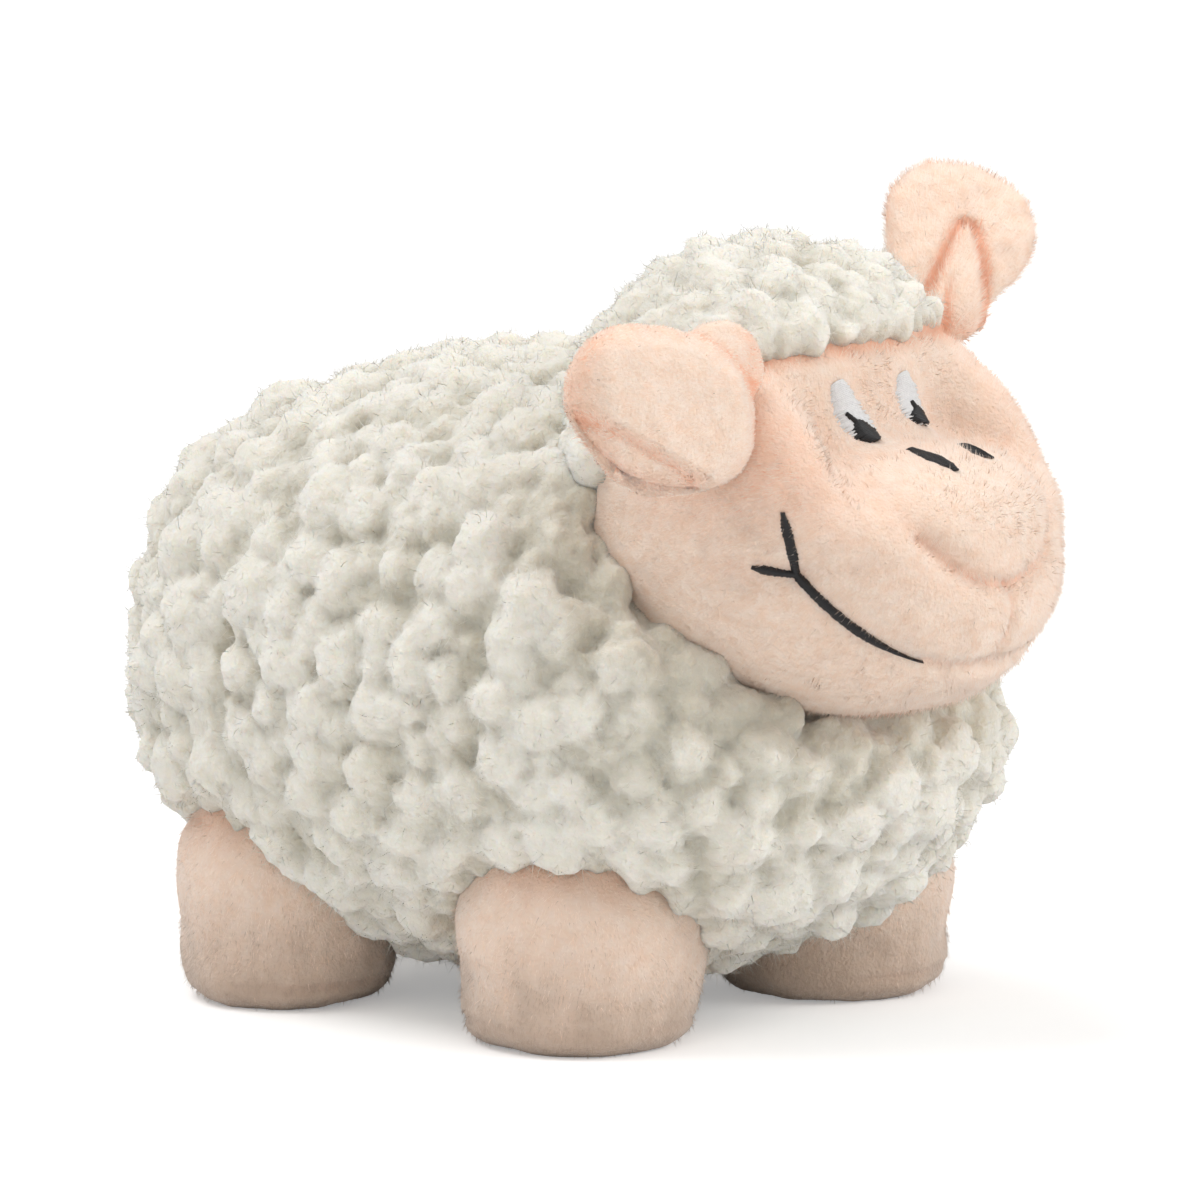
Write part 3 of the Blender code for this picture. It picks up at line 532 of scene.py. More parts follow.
def head_reach(swell):
    """How far the head reaches from its turning axis, with every radius grown by swell."""

    def reach(directions):
        grown = np.broadcast_to(swell, len(directions))
        near, far = np.zeros(len(directions)), np.full(len(directions), 0.1)
        for _ in range(SEARCH_STEPS):
            middle = (near + far) / 2
            points = directions * middle[:, None]
            total = np.zeros(len(directions))
            for size, place, power in HEAD_BLOBS:
                shares = np.abs(points - array(place)) / (array(size) / 2 + grown[:, None])
                total += np.maximum((shares**power).sum(axis=1), 1e-9) ** (-HEAD_BLEND / power)
            near = np.where(total > 1, middle, near)
            far = np.where(total > 1, far, middle)
        return near

    return reach


def head_clearance(points, swell):
    """How far points lie outside the head, measured from its axis."""
    away = points - HEAD_POINT
    lengths = norm(away)
    return lengths - head_reach(swell)(away / lengths[:, None])


def edge_distance(away):
    """How far points, about the head's axis, lie outside the seam between face and cap, in side view."""
    back = np.maximum(away[:, 1] + FACE_SEAM_FORWARD, 0)
    return np.hypot(back, away[:, 2] + FACE_SEAM_SINK) - FACE_SEAM_RADIUS


def node_bounds(names):
    boxes = [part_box(name) for name in names]
    low = np.min([array(box[0]) for box in boxes], axis=0)
    high = np.max([array(box[1]) for box in boxes], axis=0)
    return low, high


# Wool


def choose_puffs(spots, sizes, room, local):
    """Picks spots, the largest puffs first, so that neighbours only just run into each other."""
    radii = local.uniform(0, 1, len(spots)) ** 1.7 * (sizes[1] - sizes[0]) + sizes[0]
    radii = np.minimum(radii, np.maximum(room, SMALLEST_PUFF_SHARE * sizes[0]))
    order = np.argsort(-radii + local.uniform(0, 1.2 * MM, len(radii)))
    kept, kept_radii = np.empty((0, 3)), np.empty(0)
    chosen = []
    for index in order:
        gaps = norm(kept - spots[index])
        if np.all(gaps > (kept_radii + radii[index]) * PUFF_SPACING_SHARE):
            kept = np.vstack([kept, spots[index]])
            kept_radii = np.append(kept_radii, radii[index])
            chosen.append(index)
    return np.array(chosen), kept_radii


def puff_balls(centres, radii, seed, local):
    """Uneven balls, as points and triangles."""
    bm = bmesh.new()
    bmesh.ops.create_icosphere(bm, subdivisions=3, radius=1)
    ball = np.array([vert.co[:] for vert in bm.verts])
    faces = np.array([[vert.index for vert in face.verts] for face in bm.faces])
    bm.free()
    count = len(radii)
    frames = np.linalg.qr(local.normal(size=(count, 3, 3)))[0]
    stretch = local.uniform(*PUFF_STRETCH_SHARES, (count, 1, 3))
    balls = (ball[None] * stretch) @ frames * radii[:, None, None]
    points = (centres[:, None] + balls).reshape(-1, 3)
    points += PUFF_WARP * noise_vectors(points, 3.2 * MM, seed)
    return points, (np.arange(count)[:, None, None] * len(ball) + faces).reshape(-1, 3)


def run_together(obj, other):
    """Joins a second closed object to the first, makes them one skin and softens it."""
    bm = bmesh.new()
    bm.from_mesh(obj.data)
    bm.from_mesh(other.data)
    bm.to_mesh(obj.data)
    bm.free()
    bpy.data.objects.remove(other, do_unlink=True)
    remesh = obj.modifiers.new("one_skin", "REMESH")
    remesh.mode = "VOXEL"
    remesh.voxel_size = WOOL_VOXEL
    soften = obj.modifiers.new("soften", "SMOOTH")
    soften.factor = 0.5
    soften.iterations = SOFTEN_STEPS
    apply_modifiers(obj)


def puff_wool(obj, sizes, candidates, seed, room_at):
    """Covers a closed object with overlapping fleece puffs, run into one skin.

    room_at gives the largest radius that fits at each spot.
    """
    local = np.random.default_rng(seed)
    spots, normals, _ = scatter(obj, candidates)
    room = room_at(spots)
    allowed = room > SMALLEST_PUFF_SHARE * sizes[0]
    spots, normals = spots[allowed], normals[allowed]
    chosen, radii = choose_puffs(spots, sizes, room[allowed], local)
    centres = spots[chosen] + normals[chosen] * (radii * PUFF_LIFT_SHARE)[:, None]
    points, faces = puff_balls(centres, radii, seed, local)
    run_together(obj, mesh_object(f"{obj.name}_puffs", points, faces, []))
    obj.data.materials.clear()
    obj.data.materials.append(wool)
    obj.data.shade_smooth()
    points, normals = mesh_points(obj), mesh_normals(obj)
    lumps = 0.32 * MM * noise(points, 1.9 * MM, seed + 9)
    lumps += 0.2 * MM * noise(points, 1.0 * MM, seed + 10)
    move_points(obj, points + normals * lumps[:, None])


def add_wool_fibres(name, obj, count, length, keep):
    """Loose curly fibres that stand off the puffs."""
    crease_shade = get_attribute(obj, "crease_shade")
    roots, normals, mixed = scatter(obj, count, (1.2 - crease_shade) * keep)
    spread = unit(rng.normal(size=roots.shape))
    swirl = noise_vectors(roots, 2.5 * MM, 41)
    directions = unit(normals * 0.6 + spread * 0.7 + swirl * 0.8)
    bends = unit(rng.normal(size=roots.shape)) * 0.9 - normals * 0.5
    lengths = length * rng.uniform(0.45, 1.25, count)
    widths = rng.uniform(0.05, 0.09, count) * MM
    # Painted shade: fibres in the hollows between puffs take the shade tone, as the wool under them does
    tone = mixed(crease_shade) + rng.normal(0, 0.24, count)
    slots = np.where(tone < 0.3, 0, np.where(tone < 0.7, 1, 2))
    sunk = roots - normals * 0.25 * MM
    return fibres(name, sunk, normals, directions, bends, lengths, widths, wool_fibres, slots, WOOL_TILT)


# Plush


def add_pile(name, obj, count, length, comb, keep=None):
    """Short pile on a plush piece, brushed towards comb."""
    crease_shade, soil = get_attribute(obj, "crease_shade"), get_attribute(obj, "soil")
    roots, normals, mixed = scatter(obj, count, keep)
    brush = comb(roots)
    brushed = brush - normals * (brush * normals).sum(axis=1, keepdims=True)
    ruffle = noise_vectors(roots, 2.4 * MM, 23)
    loose = rng.normal(0, 0.15, roots.shape)
    directions = unit(normals * 0.6 + brushed * 0.55 + ruffle * 0.45 + loose)
    bends = brushed * 0.3 + rng.normal(0, 0.12, roots.shape)
    lengths = length * rng.uniform(0.6, 1.15, count)
    widths = rng.uniform(0.05, 0.1, count) * MM
    pale = noise(roots, 1.3 * MM, 31) + rng.normal(0, 0.25, count)
    slots = np.where(pale > -0.12, 0, 1)
    # Painted shade: fibres in creases and seams take the deep orange tone
    slots = np.where(mixed(crease_shade) + rng.normal(0, 0.12, count) > 0.5, 2, slots)
    slots = np.where(mixed(soil) + rng.normal(0, 0.15, count) > 0.5, 3, slots)
    sunk = roots - normals * 0.2 * MM
    return fibres(name, sunk, normals, directions, bends, lengths, widths, plush_fibres, slots, PILE_TILT)


# Body


def take_out(obj, forms, faces):
    """Cuts closed forms, each a set of points with the same faces, out of an object."""
    for i, points in enumerate(forms):
        dent = mesh_object(f"dent_{i}", points, faces, [])
        cut = obj.modifiers.new("dent", "BOOLEAN")
        cut.object = dent
        cut.operation = "DIFFERENCE"
        apply_modifiers(obj)
        bpy.data.objects.remove(dent, do_unlink=True)


def leg_radius(leg):
    _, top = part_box(f"{leg}_sleeve")
    return top.x - HIPS[leg].x


def body_room(spots):
    """The largest puff that fits at spots on the body, beside the face and above the legs."""
    beside = ease(2 * MM, -3 * MM, edge_distance(spots - HEAD_POINT))
    room = head_clearance(spots, FACE_PILE) + HEAD_OVERLAP - (COLLAR_GAP - COLLAR_SLACK) * beside
    for leg in LEGS:
        away = spots - array(HIPS[leg])
        ball = norm(away)
        column = np.hypot(away[:, 0], away[:, 1])
        gap = np.where(away[:, 2] > 0, ball, column) - leg_radius(leg)
        room = np.minimum(room, gap + LEG_OVERLAP)
    return room


def make_body():
    low, high = node_bounds(BODY_NODES)
    centre, radii = (low + high) / 2, (high - low) / 2 - WOOL_SINK
    directions, faces = cube_sphere(40)

    def reach(along):
        return ((np.abs(along) / radii) ** BODY_SQUARENESS).sum(axis=1) ** (-1 / BODY_SQUARENESS)

    skin = centre + directions * reach(directions)[:, None]
    beside = ease(7 * MM, -2 * MM, edge_distance(skin - HEAD_POINT))
    lowered = COLLAR_DROP * beside * ease(15 * MM, 1 * MM, head_clearance(skin, FACE_SKIN))
    body = mesh_object("body_wool", skin - directions * lowered[:, None], faces, [wool])
    face = head_reach(FACE_SKIN)(directions)
    beside_face = ease(2 * MM, -3 * MM, edge_distance(directions * face[:, None]))
    dents = [HEAD_POINT + directions * (face + COLLAR_GAP * beside_face)[:, None]]
    dents += [array(HIPS[leg]) + directions * leg_radius(leg) for leg in LEGS]
    take_out(body, dents, faces)
    puff_wool(body, BODY_PUFFS, BODY_SPOTS, BODY_SEED, body_room)
    points = mesh_points(body)
    away = points - centre
    lengths = norm(away)
    out = lengths - reach(away / lengths[:, None])
    # Painted shade: the deeper the wool lies between puffs, the darker it is painted
    set_attribute(body, "crease_shade", 1 - ease(0.8 * MM, 3.4 * MM, out))
    clear = head_clearance(points, FACE_PILE)
    fibre_weights = ease(-0.5 * MM, 1.5 * MM, clear) * ease(-1 * MM, 0.5 * MM, out)
    count = thin(BODY_FIBRES)
    fluff = add_wool_fibres("body_wool_fibres", body, count, BODY_FIBRE_LENGTH, fibre_weights)
    for piece in (body, fluff):
        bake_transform(piece)
    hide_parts(*BODY_NODES)
    return centre, reach


# Head


def path_gaps(points, path):
    """How far each point is from the nearest point of a path."""
    gaps = np.empty(len(points))
    for start in range(0, len(points), GAP_CHUNK):
        part = points[start : start + GAP_CHUNK]
        gaps[start : start + GAP_CHUNK] = norm(part[:, None] - path).min(axis=1)
    return gaps


def on_face(turn, rise):
    """Points of the face at turns from straight ahead, positive to its left, and heights above its axis."""
    turn, rise = np.broadcast_arrays(np.atleast_1d(turn), np.atleast_1d(rise))
    level = np.full(len(turn), 30 * MM)
    reach = head_reach(FACE_PILE)

    def at_level():
        return np.stack([np.sin(turn) * level, -np.cos(turn) * level, rise], axis=1)

    for _ in range(LEVEL_STEPS):
        found = reach(unit(at_level()))
        level = (level + np.sqrt(np.maximum(found**2 - rise**2, 0))) / 2
    return HEAD_POINT + at_level()


def face_turn(across, rise):
    """Turns at which the face is this far from its middle plane, at heights above its axis."""
    turn = np.zeros(len(rise))
    for _ in range(TURN_STEPS):
        away = on_face(turn, rise) - HEAD_POINT
        turn = np.arcsin(np.clip(across / np.hypot(away[:, 0], away[:, 1]), -1, 1))
    return turn


def mouth_rise(turn):
    share = np.clip(np.abs(turn) / CORNER_TURN, 0, 1) ** MOUTH_CURL
    return -(MOUTH_DROP + (CORNER_DROP - MOUTH_DROP) * share)


def turn_and_rise(name):
    low, high = node_bounds((name,))
    away = (low + high) / 2 - HEAD_POINT
    return math.atan2(away[0], -away[1]), away[2]


def oval_width(at, middle, before, after, least):
    """Width of an oval, as a share, at places before and after its widest one."""
    reach = np.where(at < middle, before, after)
    return np.sqrt(np.clip(1 - ((at - middle) / reach) ** 2, least, 1))


# Width in mm of each stitched line, at shares along it
LINE_WIDTHS = {
    "lower": lambda at: 0.3 + ease(0, 0.5, at),
    "upper": lambda at: 1.05 + 0.3 * np.sin(at * math.pi) - 0.45 * ease(0.75, 1, at),
    "branch": lambda at: 0.95 + 0.35 * ease(0.2, 0.6, at) - 0.75 * ease(0.7, 1, at),
    "white": lambda at: 5.2 * oval_width(at, 0.34, 0.36, 0.72, 0.03),
    "pupil": lambda at: 4.0 * oval_width(at, 0.5, 0.53, 0.53, 0.1),
    "tail": lambda at: 1.3 - 0.7 * at,
    "nostril": lambda at: 2.0 * np.clip(1 - (2 * at - 1) ** 6, 0.5, 1),
}


def stitch_paths(side, name):
    """The stitched lines of one side: path, row in LINE_WIDTHS, node and half the greatest width."""
    share = np.linspace(0, 1, 40)
    turns = MOUTH_START_TURN + (CORNER_TURN - MOUTH_START_TURN) * share
    lower = on_face(side * turns, mouth_rise(turns))

    def corner_line(last_turn, last_rise):
        turns = CORNER_TURN + (last_turn - CORNER_TURN) * share
        return on_face(side * turns, -CORNER_DROP + (last_rise + CORNER_DROP) * share)

    def line(ends):
        (across, rise), (last_across, last_rise) = np.array(ends[name]) * MM
        rises = rise + (last_rise - rise) * share
        return on_face(face_turn(across + (last_across - across) * share, rises), rises)

    return (
        (lower, "lower", "mouth", 0.6 * MM),
        (corner_line(MOUTH_TOP_TURN, MOUTH_TOP_RISE), "upper", "mouth", 0.6 * MM),
        (corner_line(CREASE_END_TURN, -CREASE_END_DROP), "branch", "mouth", 0.6 * MM),
        (line(EYE_ENDS), "white", "eye_white", 2.6 * MM),
        (line(PUPIL_ENDS), "pupil", "pupil", 2.1 * MM),
        (line(TAIL_ENDS), "tail", "pupil", 0.6 * MM),
        (line(NOSTRIL_ENDS), "nostril", "nostril", 1.0 * MM),
    )


def face_lines():
    """Lines that draw the face in, each with the name of its row in FACE_LINES."""
    turns = np.linspace(-math.pi, math.pi, 121)
    rises = NOSE_RISE - NOSE_RADIUS * np.cos(turns)
    nose_edge = on_face(face_turn(NOSE_RADIUS * np.sin(turns), rises), rises)
    mouth_turns = np.linspace(-CORNER_TURN, CORNER_TURN, 120)
    mouth = on_face(mouth_turns, mouth_rise(mouth_turns))
    lines = [
        ("sides", nose_edge[np.abs(turns) < NOSE_SIDES_TURN]),
        ("dart", nose_edge[np.abs(turns) < DART_TURN]),
        ("centre_seam", on_face(0, np.linspace(-MOUTH_DROP, NOSE_RISE - NOSE_RADIUS, 40))),
        ("mouth", mouth),
        ("smile", mouth[np.abs(mouth_turns) < MOUTH_START_TURN]),
        ("saddle", on_face(np.linspace(-SADDLE_TURN, SADDLE_TURN, 25), SADDLE_RISE)),
    ]
    for side, name in SIDES:
        turn, rise = turn_and_rise(f"eye_white_{name}")
        lines.append(("eye", on_face(turn, rise + np.linspace(-EYE_HALF_HEIGHT, EYE_HALF_HEIGHT, 9))))
        turn, rise = turn_and_rise(f"nostril_{name}")
        lines.append(("nostril", on_face(turn, rise)))
        turns = side * np.linspace(*PULL_TURNS, 12)
        lines.append(("corner", on_face(turns, PULL_RISE - CORNER_DROP)))
    return lines


def bare_shares(points):
    """1 where stitches lie on the face and 0 away from them."""
    bare = np.zeros(len(points))
    for side, name in SIDES:
        for path, _, _, half in stitch_paths(side, name):
            gaps = path_gaps(points, path[::4])
            bare = np.maximum(bare, ease(half + 0.9 * MM, half + 0.1 * MM, gaps))
    return bare


def shape_face(head):
    """Seams, the fold under the nose and the hollows that the stitching pulls into the face."""
    points, normals = mesh_points(head), mesh_normals(head)
    front = ease(0, 6 * MM, HEAD_POINT[1] - points[:, 1])
    depth, crease_shade = np.zeros(len(points)), np.zeros(len(points))
    for name, path in face_lines():
        deepest, width, darkest, dark_width = FACE_LINES[name]
        gaps = path_gaps(points, path)
        depth += deepest * MM * bell(gaps, width * MM)
        # Painted shade along each line, as dark as its row says
        crease_shade += darkest * bell(gaps, dark_width * MM)
    away = points - HEAD_POINT
    edge = edge_distance(away)
    # Painted shade where the face runs under the cap's edge, and on the sides of the head, more so higher
    # up
    crease_shade += 0.75 * ease(-3.2 * MM, -0.2 * MM, edge)
    temple = ease(0, 12 * MM, np.abs(away[:, 0]) - 12 * MM)
    crease_shade += 0.38 * temple * ease(-2 * MM, 10 * MM, away[:, 2])
    depth += 0.9 * MM * ease(-3 * MM, 0.5 * MM, edge)
    swell = 0.3 * MM * noise(points, 7 * MM, 51) + 0.1 * MM * noise(points, 2.5 * MM, 52)
    under_cap = CAP_COVER * ease(1.5 * MM, 4 * MM, edge)
    move_points(head, points - normals * (depth * front - swell + under_cap)[:, None])
    set_attribute(head, "crease_shade", np.clip(crease_shade * front, 0, 1))
    set_attribute(head, "soil", 0.06 + 0.05 * noise(points, 5 * MM, 53))
    set_attribute(head, "bare", bare_shares(points))


def make_head(body_centre, body_reach):
    directions, faces = cube_sphere(110)
    reach = head_reach(FACE_SKIN)(directions)
    head = mesh_object("head_plush", HEAD_POINT + directions * reach[:, None], faces, [plush])
    shape_face(head)
    away = mesh_points(head) - HEAD_POINT
    keep = ease(2 * MM, -0.5 * MM, edge_distance(away)) * (1 - get_attribute(head, "bare"))

    def comb(points):
        return unit(points - HEAD_POINT + Vector((0, 60 * MM, -25 * MM)))

    pile = add_pile("head_pile", head, thin(HEAD_PILE), HEAD_PILE_LENGTH, comb, keep)
    for piece in (head, pile):
        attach(piece, "head")
    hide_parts(*HEAD_NODES)
    make_cap(body_centre, body_reach)


def make_cap(body_centre, body_reach):
    """Fleece over the top and back of the head. Inside the face's seam it dips under the plush."""
    directions, faces = cube_sphere(60)
    flat = head_reach(FACE_PILE)(directions)
    edge = ease(-1.2 * MM, 1.6 * MM, edge_distance(directions * flat[:, None]))
    reach = head_reach(CAP_PILE * edge - CAP_TUCK * (1 - edge))(directions)
    cap = mesh_object("cap_wool", HEAD_POINT + directions * reach[:, None], faces, [wool])

    def room_at(spots):
        inside = spots - body_centre
        lengths = norm(inside)
        out_of_body = lengths - body_reach(inside / lengths[:, None]) > 0.5 * MM
        room = edge_distance(spots - HEAD_POINT) + CAP_OVERHANG
        for name in ("right", "left"):
            root, _, _, _ = ear_axes(name)
            room = np.minimum(room, norm(spots - root) - EAR_ROOT_ROOM)
        return np.where(out_of_body, room, 0)

    puff_wool(cap, CAP_PUFFS, CAP_SPOTS, CAP_SEED, room_at)
    clear = head_clearance(mesh_points(cap), CAP_PILE)
    # Painted shade: the cap's wool is painted darker the nearer it lies to the head, deep between puffs
    set_attribute(cap, "crease_shade", 1 - ease(0.3 * MM, 2.6 * MM, clear))
    outside = ease(-0.5 * MM, 0.5 * MM, clear)
    count = thin(CAP_FIBRES)
    fluff = add_wool_fibres("cap_wool_fibres", cap, count, CAP_FIBRE_LENGTH, outside)
    for piece in (cap, fluff):
        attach(piece, "head")


# Legs

LEG_SEGMENTS = 80
SOLE_ROUND = 4.5 * MM
SOLE_SEAM_HEIGHT = 3 * MM
SOLE_SEAM_WIDTH = 0.6 * MM
SOLE_SEAM_DEPTH = 0.5 * MM
BARREL_SHARE = 0.955
TUCK_HEIGHT = 8 * MM
TUCK_SPREAD = 3 * MM
TUCK_DEPTH = 0.8 * MM
SOIL_HEIGHT = 15 * MM


def leg_profile(radius, hip_height):
    """Outline of a leg from the middle of its sole round to its crown, as radius and height."""
    barrel = radius * BARREL_SHARE
    foot = barrel - SOLE_ROUND
    sole = np.linspace(0.12, 0.95, 8)
    edge = np.linspace(0, math.pi / 2, 12)
    side = np.linspace(0, 1, 14)[1:]
    crown = np.linspace(0, math.pi / 2, 24)[1:]
    widths = barrel + (radius - barrel) * np.sin(side * math.pi / 2)
    parts = (
        (foot * sole, 0 * sole),
        (foot + SOLE_ROUND * np.sin(edge), SOLE_ROUND * (1 - np.cos(edge))),
        (widths, SOLE_ROUND + (hip_height - SOLE_ROUND) * side),
        (radius * np.cos(crown), hip_height + radius * np.sin(crown)),
    )
    return np.concatenate([np.stack(part, axis=1) for part in parts])


def leg_skin(name, hip, radius):
    """A leg's outline turned about its upright axis."""
    profile = leg_profile(radius, hip[2])
    turns = np.linspace(0, 2 * math.pi, LEG_SEGMENTS, endpoint=False)
    ring = np.stack([np.cos(turns), np.sin(turns)], axis=1)
    rings = [np.column_stack([r * ring, np.full(LEG_SEGMENTS, z)]) for r, z in profile]
    points = np.concatenate(rings)
    points[:, :2] += hip[:2]
    faces = ring_faces(1, len(profile), LEG_SEGMENTS)
    return mesh_object(f"{name}_plush", points, faces, [plush]), points


def shape_leg(leg, points, hip, seed):
    """The sole's seam, uneven stuffing, a tuck above the foot, and soil that thins out upwards.

    Gives back where its pile grows.
    """
    normals, height = mesh_normals(leg), points[:, 2]
    around = np.arctan2(points[:, 1] - hip[1], points[:, 0] - hip[0])
    fade = 0.5 + 0.5 * np.sin(around * 2 + seed)
    seam = bell(height - SOLE_SEAM_HEIGHT, SOLE_SEAM_WIDTH) * fade
    swell = 0.6 * MM * noise(points, 9 * MM, seed) + 0.15 * MM * noise(points, 3 * MM, seed + 7)
    tucked = ease(0.2, 0.8, noise(points, 16 * MM, seed + 1) + 0.3)
    tuck = TUCK_DEPTH * bell(height - TUCK_HEIGHT, TUCK_SPREAD) * tucked
    lifted = points + normals * (swell - SOLE_SEAM_DEPTH * seam - tuck)[:, None]
    lifted[:, 2] = np.maximum(lifted[:, 2], 0)
    move_points(leg, lifted)
    upper = ease(17 * MM, 24 * MM, height)
    # Painted shade in the sole's seam and at the top of the leg, under the body; the noise adds random tone
    crease_shade = 0.5 * seam + 0.5 * upper + 0.12 * noise(points, 6 * MM, seed + 4)
    set_attribute(leg, "crease_shade", np.clip(crease_shade, 0, 1))
    squeezed = points * array((1, 1, 0.35))
    streaks = noise(squeezed, 3 * MM, seed + 3) + 0.6 * noise(points, 9 * MM, seed + 5)
    soil = ease(SOIL_HEIGHT, 0, height + 4 * MM * streaks)
    set_attribute(leg, "soil", np.clip(0.26 + 0.64 * soil, 0, 1))
    return ease(0.3 * MM, 1.5 * MM, height) * ease(28 * MM, 24 * MM, height)


def make_leg(name):
    low, high = node_bounds((f"{name}_sleeve", f"{name}_sole"))
    hip = array(HIPS[name])
    leg, points = leg_skin(name, hip, (high[0] - low[0]) / 2)
    keep = shape_leg(leg, points, hip, 60 + LEGS.index(name))

    def comb(at):
        return np.broadcast_to(array((0, 0, -1)), at.shape)

    pile = add_pile(f"{name}_pile", leg, thin(LEG_PILE), LEG_PILE_LENGTH, comb, keep)
    for piece in (leg, pile):
        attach(piece, name)
    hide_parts(f"{name}_sleeve", f"{name}_sole", f"{name}_stuffing")


# Ears

EAR_THICKNESS = 3.1 * MM
EAR_EDGE = 0.16
EAR_MIDDLE = 12 * MM
PLEAT_END_SHARE = 0.62
PLEAT_HALF_WIDTH = 4.6 * MM
PLEAT_ASIDE = 0.6 * MM
PLEAT_RISE = 0.7 * MM
PLEAT_CREASE = 1.0 * MM
LOBE_ROLL = 1.9 * MM
LOBE_CURL = 1.2 * MM
HEM_TURN = 1.05
HEM_PLACE = 7.6 * MM
HEM_DROP = 1.6 * MM
# Two ovals make each outline: middle along and across the ear, half length, half width and shear
EAR_OVALS = {
    "right": ((13.4 * MM, -1 * MM, 12.3 * MM, 9.6 * MM, 0.38), (3.6 * MM, 3.4 * MM, 5.2 * MM, 4.4 * MM, 0)),
    "left": ((15.3 * MM, 0, 9.8 * MM, 9.9 * MM, 0), (6.4 * MM, 1.6 * MM, 8.4 * MM, 6.8 * MM, 0)),
}


def oval_value(oval, run, over):
    """Below 1 inside an oval, 1 on its edge and more outside it."""
    middle, across, length, width, shear = oval
    aside = over - across
    return np.hypot((run - middle - shear * aside) / length, aside / width)


def ear_edges(name, angles):
    """How far the ear's outline is from its middle, at angles from its tip."""
    near, far = np.zeros(len(angles)), np.full(len(angles), EAR_LENGTH)
    for _ in range(SEARCH_STEPS):
        reach = (near + far) / 2
        run, over = EAR_MIDDLE + reach * np.cos(angles), reach * np.sin(angles)
        total = sum(np.maximum(oval_value(oval, run, over), 1e-3) ** -8 for oval in EAR_OVALS[name])
        near, far = np.where(total > 1, reach, near), np.where(total > 1, far, reach)
    return near


def ear_axes(name):
    """Where an ear starts, and its directions to its tip, across it and out of its face."""
    hinge = JOINTS[f"ear_{name}_swing"]
    place, face = array(hinge["pos_m"]), array(hinge["axis"])
    nodes = [frame["nodes"][f"ear_{layer}_{name}"] for layer in ("front", "back")]
    along = np.concatenate([mesh_points(node) for node in nodes]).mean(axis=0) - place
    along = unit(along - face * (along @ face))
    across = np.cross(face, along) * (1 if name == "left" else -1)
    return place - along * EAR_ROOT_RADIUS, along, across, face


def fold_left_ear(out, over, far_share, front):
    """A pleat rises from the root to the middle of the lobe, with a fold down each side that also gets
    painted shade.
    """
    width = PLEAT_HALF_WIDTH * np.clip(1 - far_share / PLEAT_END_SHARE, 0, 1) ** 0.6
    aside = np.abs(over + PLEAT_ASIDE)
    gap = np.abs(aside - width)
    on_pleat = (aside < width) & front & (far_share < PLEAT_END_SHARE)
    out = out + PLEAT_RISE * on_pleat * ease(0, 1.6 * MM, gap)
    end = ease(PLEAT_END_SHARE + 0.03, PLEAT_END_SHARE - 0.03, far_share)
    wrinkle = bell(gap, 1.0 * MM) * end
    inner_fold = bell(over - 0.8 * MM, 0.7 * MM) * ease(0.34, 0.12, far_share)
    wrinkle = np.clip(wrinkle + 0.8 * inner_fold, 0, 1)
    return out - PLEAT_CREASE * wrinkle * front, wrinkle


def fold_right_ear(out, lobe, hem, far_share, front):
    """The lobe rolls forward over a small bump at its root, and folds back along its lower edge."""
    out = out + LOBE_ROLL * ease(1.1, 0.75, lobe) * front
    out += LOBE_CURL * ease(0.6, 1.0, far_share)
    out -= HEM_DROP * ease(6.4 * MM, 8 * MM, hem) * front
    # Painted shade along the lobe's rim over the bump, and along the folded hem
    wrinkle = bell(lobe - 1.06, 0.09) * ease(0.5, 0.35, far_share)
    return out, np.maximum(wrinkle, bell(hem - HEM_PLACE, 0.7 * MM))


def make_ear(name):
    names = (f"ear_front_{name}", f"ear_back_{name}")
    start, along, across, face = ear_axes(name)
    directions, faces = cube_sphere(56)
    angles = np.arctan2(directions[:, 1], directions[:, 0])
    share = np.hypot(directions[:, 0], directions[:, 1])
    flat_share = np.arcsin(np.clip(share, 0, 1)) / (math.pi / 2)
    front = directions[:, 2] > 0
    reach = ear_edges(name, angles) * flat_share
    run = EAR_MIDDLE + reach * np.cos(angles)
    over = reach * np.sin(angles)
    far_share = run / EAR_LENGTH
    thick = EAR_THICKNESS * np.clip(1 - flat_share**2.8, 0, 1) ** 0.5
    out = np.where(front, thick, -thick)
    out += 1.8 * MM * (over / EAR_LOBE_RADIUS) ** 2 * far_share
    if name == "left":
        out, wrinkle = fold_left_ear(out, over, far_share, front)
    else:
        lobe = oval_value(EAR_OVALS[name][0], run, over)
        hem = reach * np.cos(angles + HEM_TURN)
        out, wrinkle = fold_right_ear(out, lobe, hem, far_share, front)
        lower_tip = bell(angles + HEM_TURN, 0.6)
        grown = 1 + 0.13 * lower_tip * np.where(front, 0, ease(0.5, 0.9, flat_share))
        run = EAR_MIDDLE + (run - EAR_MIDDLE) * grown
        over = over * grown
    made = start + run[:, None] * along + over[:, None] * across + out[:, None] * face
    ear = mesh_object(f"ear_{name}_plush", made, faces, [plush])
    normals = mesh_normals(ear)
    swell = 0.4 * MM * noise(made, 6 * MM, 70) + 0.15 * MM * noise(made, 2.2 * MM, 71)
    rim = bell(directions[:, 2], EAR_EDGE)
    move_points(ear, made + normals * (swell - 0.5 * MM * rim)[:, None])
    # Painted shade: darker along the rim, near the root, in the folds and, on the left ear, in the lobe's
    # hollow
    crease_shade = 0.4 * rim * ease(0.3, 0.5, far_share) + 0.4 * ease(0.14, 0.0, far_share)
    crease_shade += (0.75 if name == "left" else 0.45) * wrinkle * front
    if name == "left":
        hollow = ease(0.5, 0.72, far_share) * ease(0.6, 0.2, flat_share)
        crease_shade += 0.22 * front * hollow
    set_attribute(ear, "crease_shade", np.clip(crease_shade, 0, 1))
    set_attribute(ear, "soil", np.full(len(made), 0.03))

    def comb(at):
        return unit(along + 0.6 * unit(at - (start + along * EAR_LENGTH * 0.6)))

    pile = add_pile(f"ear_{name}_pile", ear, thin(EAR_PILE), EAR_PILE_LENGTH, comb)
    for piece in (ear, pile):
        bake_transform(piece)
    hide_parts(*names)


# Stitching


